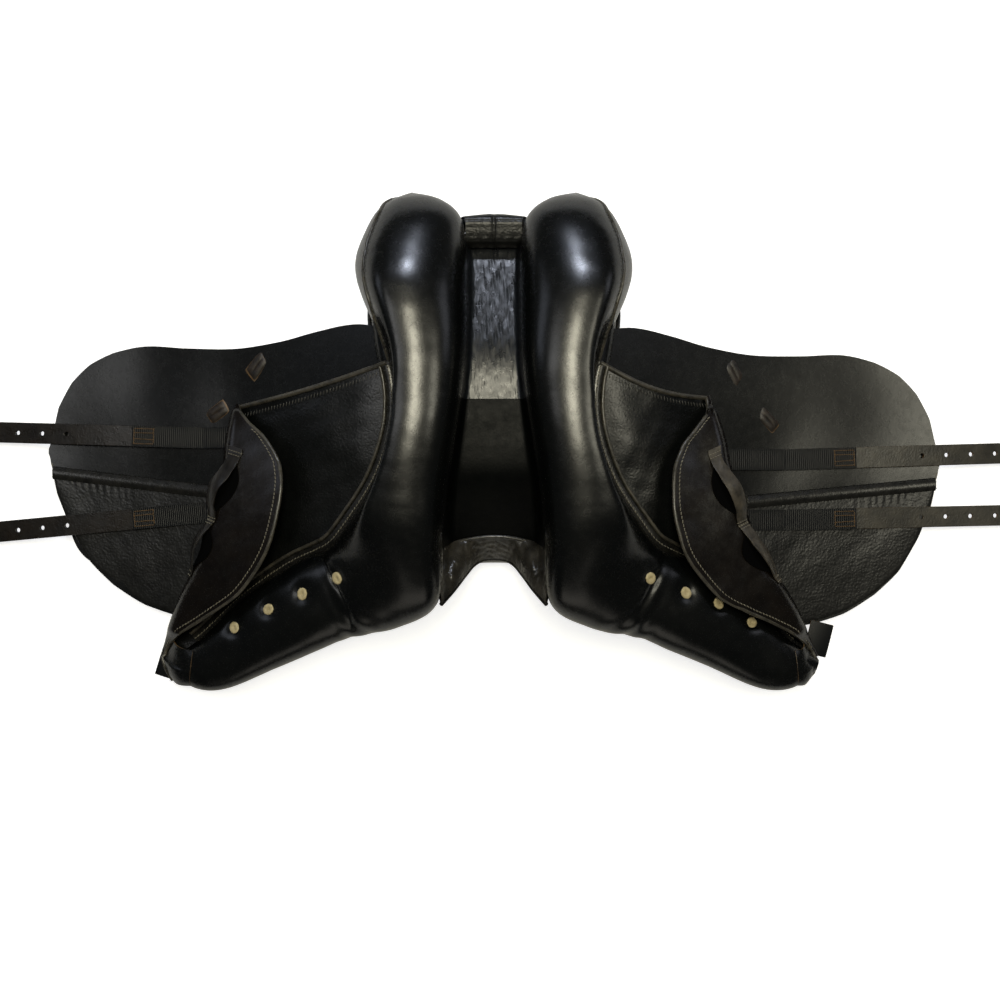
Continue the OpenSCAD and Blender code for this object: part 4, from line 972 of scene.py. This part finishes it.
# Channel hides: grey-blue with a wrinkled sheen behind, matt black in front.
channel_grey = leather("grey_channel_hide", "#0a0c0e", "#1b1e22", 0.3, 2.6, 0.3, drift_mm=20,
                       stretch=(1, 3.4, 1), billow_mm=0.4, gloss=0.36)
channel_black = leather("matt_channel_hide", "#030404", "#070807", 0.4, 2.4, 0.1, gloss=0.06)
halves = (("channel_rear", 236, 52, channel_grey), ("channel_front", 58, -107, channel_black))
for name, from_y, to_y, material in halves:
    y, q = grid(np.linspace(from_y, to_y, 161), np.linspace(-1, 1, 81))
    y = y - FRONT_BOW * q ** 2 * np.clip((20 - y) / 127, 0, 1) ** 2
    floor_points = channel_point(y, q)
    if name == "channel_rear":
        wrinkles = 0.25 * swells(floor_points * [1, 0.25, 0], 6, 72)
        floor_points[..., 2] += wrinkles * np.clip((y - 60) / 60, 0.3, 1)
    else:
        floor_points[..., 2] += 0.6 * swells(floor_points, 50, 73) - 1.2
    made = sheet(name, floor_points, [material], 2, sharp=80)
    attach(made, "saddle")
    if name == "channel_rear":
        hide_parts("channel_leather")

# Pommel lining: brown-grey lining hide drawn from the channel into the arch, a bound edge at each end and a
# double-sewn seam down its middle. A black facing closes the arch in front, over the tree's head.
# Points of half the arch and of the brow below it, from the middle outward: x, y, z.
ARCH = [[0, -133.5, 36], [13, -134.5, 38], [24, -140, 48], [34, -151, 74], [46, -166, 106], [59, -180, 130]]
BROW = [[0, -136, 4], [20, -136, 6], [42, -136, 30], [54, -130, 46], [66, -122, 62], [74, -112, 76]]
# Lining hide: thin, brown-grey, finely wrinkled.
lining_hide = leather("brown_lining_hide", "#171613", "#393630", 0.3, 3.0, 0.5, drift_mm=26)


def arch_line(table, q):
    """Half an arch mirrored: the spline of the table at the size of q, its side given by the sign of q."""
    line = spline(table, np.abs(q) * 5)
    return line * np.stack([np.sign(q), 1 + 0 * q, 1 + 0 * q], -1)


q, s = grid(np.linspace(-1, 1, 121), np.linspace(0, 1, 61))
front = arch_line(ARCH, q)
back = channel_point(-105 - FRONT_BOW * q ** 2, q)
skin = back + (front - back) * s[..., None]
bulge = 15 * np.exp(-((np.abs(q) - 0.77) / 0.2) ** 2)
wrinkles = bulge + 2.6 * swells(skin * [1, 0.4, 1], 24, 81) + 1.5 * swells(skin, 9, 82)
skin[..., 2] += np.sin(np.pi * s) * wrinkles
lining = sheet("pommel_lining_hide", skin, [lining_hide], 1.8, flip=True, sharp=80)
brow = arch_line(BROW, q)
cover = front + (brow - front) * s[..., None] + np.stack([0 * s, -2 * np.sin(np.pi * s), 0 * s], -1)
facing = sheet("pommel_facing", cover, [panel_leather], 2.2, flip=True, sharp=80)
line = np.linspace(-1, 1, 121)
bound_front = tube("pommel_front_binding", arch_line(ARCH, line), 2.6, piping_leather, up=(0, -1, 0.3))
rear_line = channel_point(-106 - FRONT_BOW * line ** 2, line * 0.97) + [0, 0, 2]
bound_rear = tube("pommel_rear_binding", rear_line, 2.4, lining_hide, up=(0, 1, 0))
middle = np.linspace(0.04, 0.96, 40)
rear_end = channel_point(np.array([-105.0]), np.array([0.0]))
spine = rear_end * (1 - middle[:, None]) + np.array(ARCH[0]) * middle[:, None]
seam = tube("pommel_seam", spine + [0, 0, 1.2], 1.4, lining_hide)
sewn = stitches("pommel_stitches", [spine + [4, 0, 1.6], spine + [-4, 0, 1.6]], thread, pitch=4)
for made in (lining, facing, bound_front, bound_rear, seam, sewn):
    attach(made, "saddle")
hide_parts("pommel_lining")

# Cantle facing: black hide folded over the cantle between the lobes and widening down its back, gathered in
# pleats to a piped centre seam with a row of sewing on each side.
# Rows of the cantle from the channel over the back and down: y, z, half width.
CANTLE = [[232, 80, 33], [236, 91, 33], [242, 94, 33], [250, 96, 33], [257, 97, 33], [262, 92, 36],
          [263, 60, 50], [258, 21, 78]]
# Cantle hide: the same black hide, dulled by dust in its creases.
cantle_black = leather("cantle_hide", "#070807", "#1a1a18", 0.32, 2.4, 0.3, gloss=0.25)
row, q = grid(np.linspace(0, len(CANTLE) - 1, 91), np.linspace(-1, 1, 81))
y, z, half = np.moveaxis(spline(CANTLE, row), -1, 0)
pleats = 0.6 * np.sin(2 * np.pi * (q * 2.6 + 0.2 * np.sin(2 * row))) * np.exp(-((row / 1.4) ** 2))
pleats = pleats - 1.2 * np.exp(-((q / 0.06) ** 2))
drop = np.clip(row - 5, 0, 2) / 2 * q ** 2
y = y - 10 * drop + 5 * (1 - q ** 2) * np.clip(row - 4.5, 0, 1)
skin = np.stack([q * half, y, z + pleats + 1 + 15 * drop], -1)
facing = sheet("cantle_hide", skin, [cantle_black], 2, flip=True, sharp=80)
line = spline(CANTLE, np.linspace(0, 5, 50))
spine = np.stack([0 * line[:, 0], line[:, 0], line[:, 1] + 1.4], -1)
seam = tube("cantle_seam", spine, 1.5, piping_leather, up=(1, 0, 0))
sewn = stitches("cantle_stitches", [spine + [3.5, 0, 0.4], spine + [-3.5, 0, 0.4]], black_thread, pitch=3.6)
for made in (facing, seam, sewn):
    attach(made, "saddle")
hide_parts("cantle_facing")

# Skirts: small covers of black hide over the stirrup bars, sewn in at the seat's edge. Their rounded outer edge
# is cut and shows tan.
# Rows of the skirt: y, and x of its outer edge.
SKIRT = [[58, 150], [30, 182], [-10, 203], [-50, 206], [-90, 186], [-118, 150]]
SKIRT_DROP = 28
row, s = grid(np.linspace(0, len(SKIRT) - 1, 81), np.linspace(0, 1, 41))
y, outer = np.moveaxis(spline(SKIRT, row), -1, 0)
seat_rows = np.interp(-y, -np.array(SEAT)[:, 0], np.arange(len(SEAT)))
inner = spline(SEAT, seat_rows)[..., 1] + 5
x = inner + (outer - inner) * s
cover = np.stack([x, y, flap_z(x) - SKIRT_DROP], -1)
for side, word in SIDES:
    skirt = sheet(word + "_skirt_hide", cover, [panel_leather, panel_leather, raw_edge], 3, side, flip=True,
                  rim=2, round_over=0.8)
    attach(skirt, word + "_skirt")
    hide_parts(word + "_skirt")
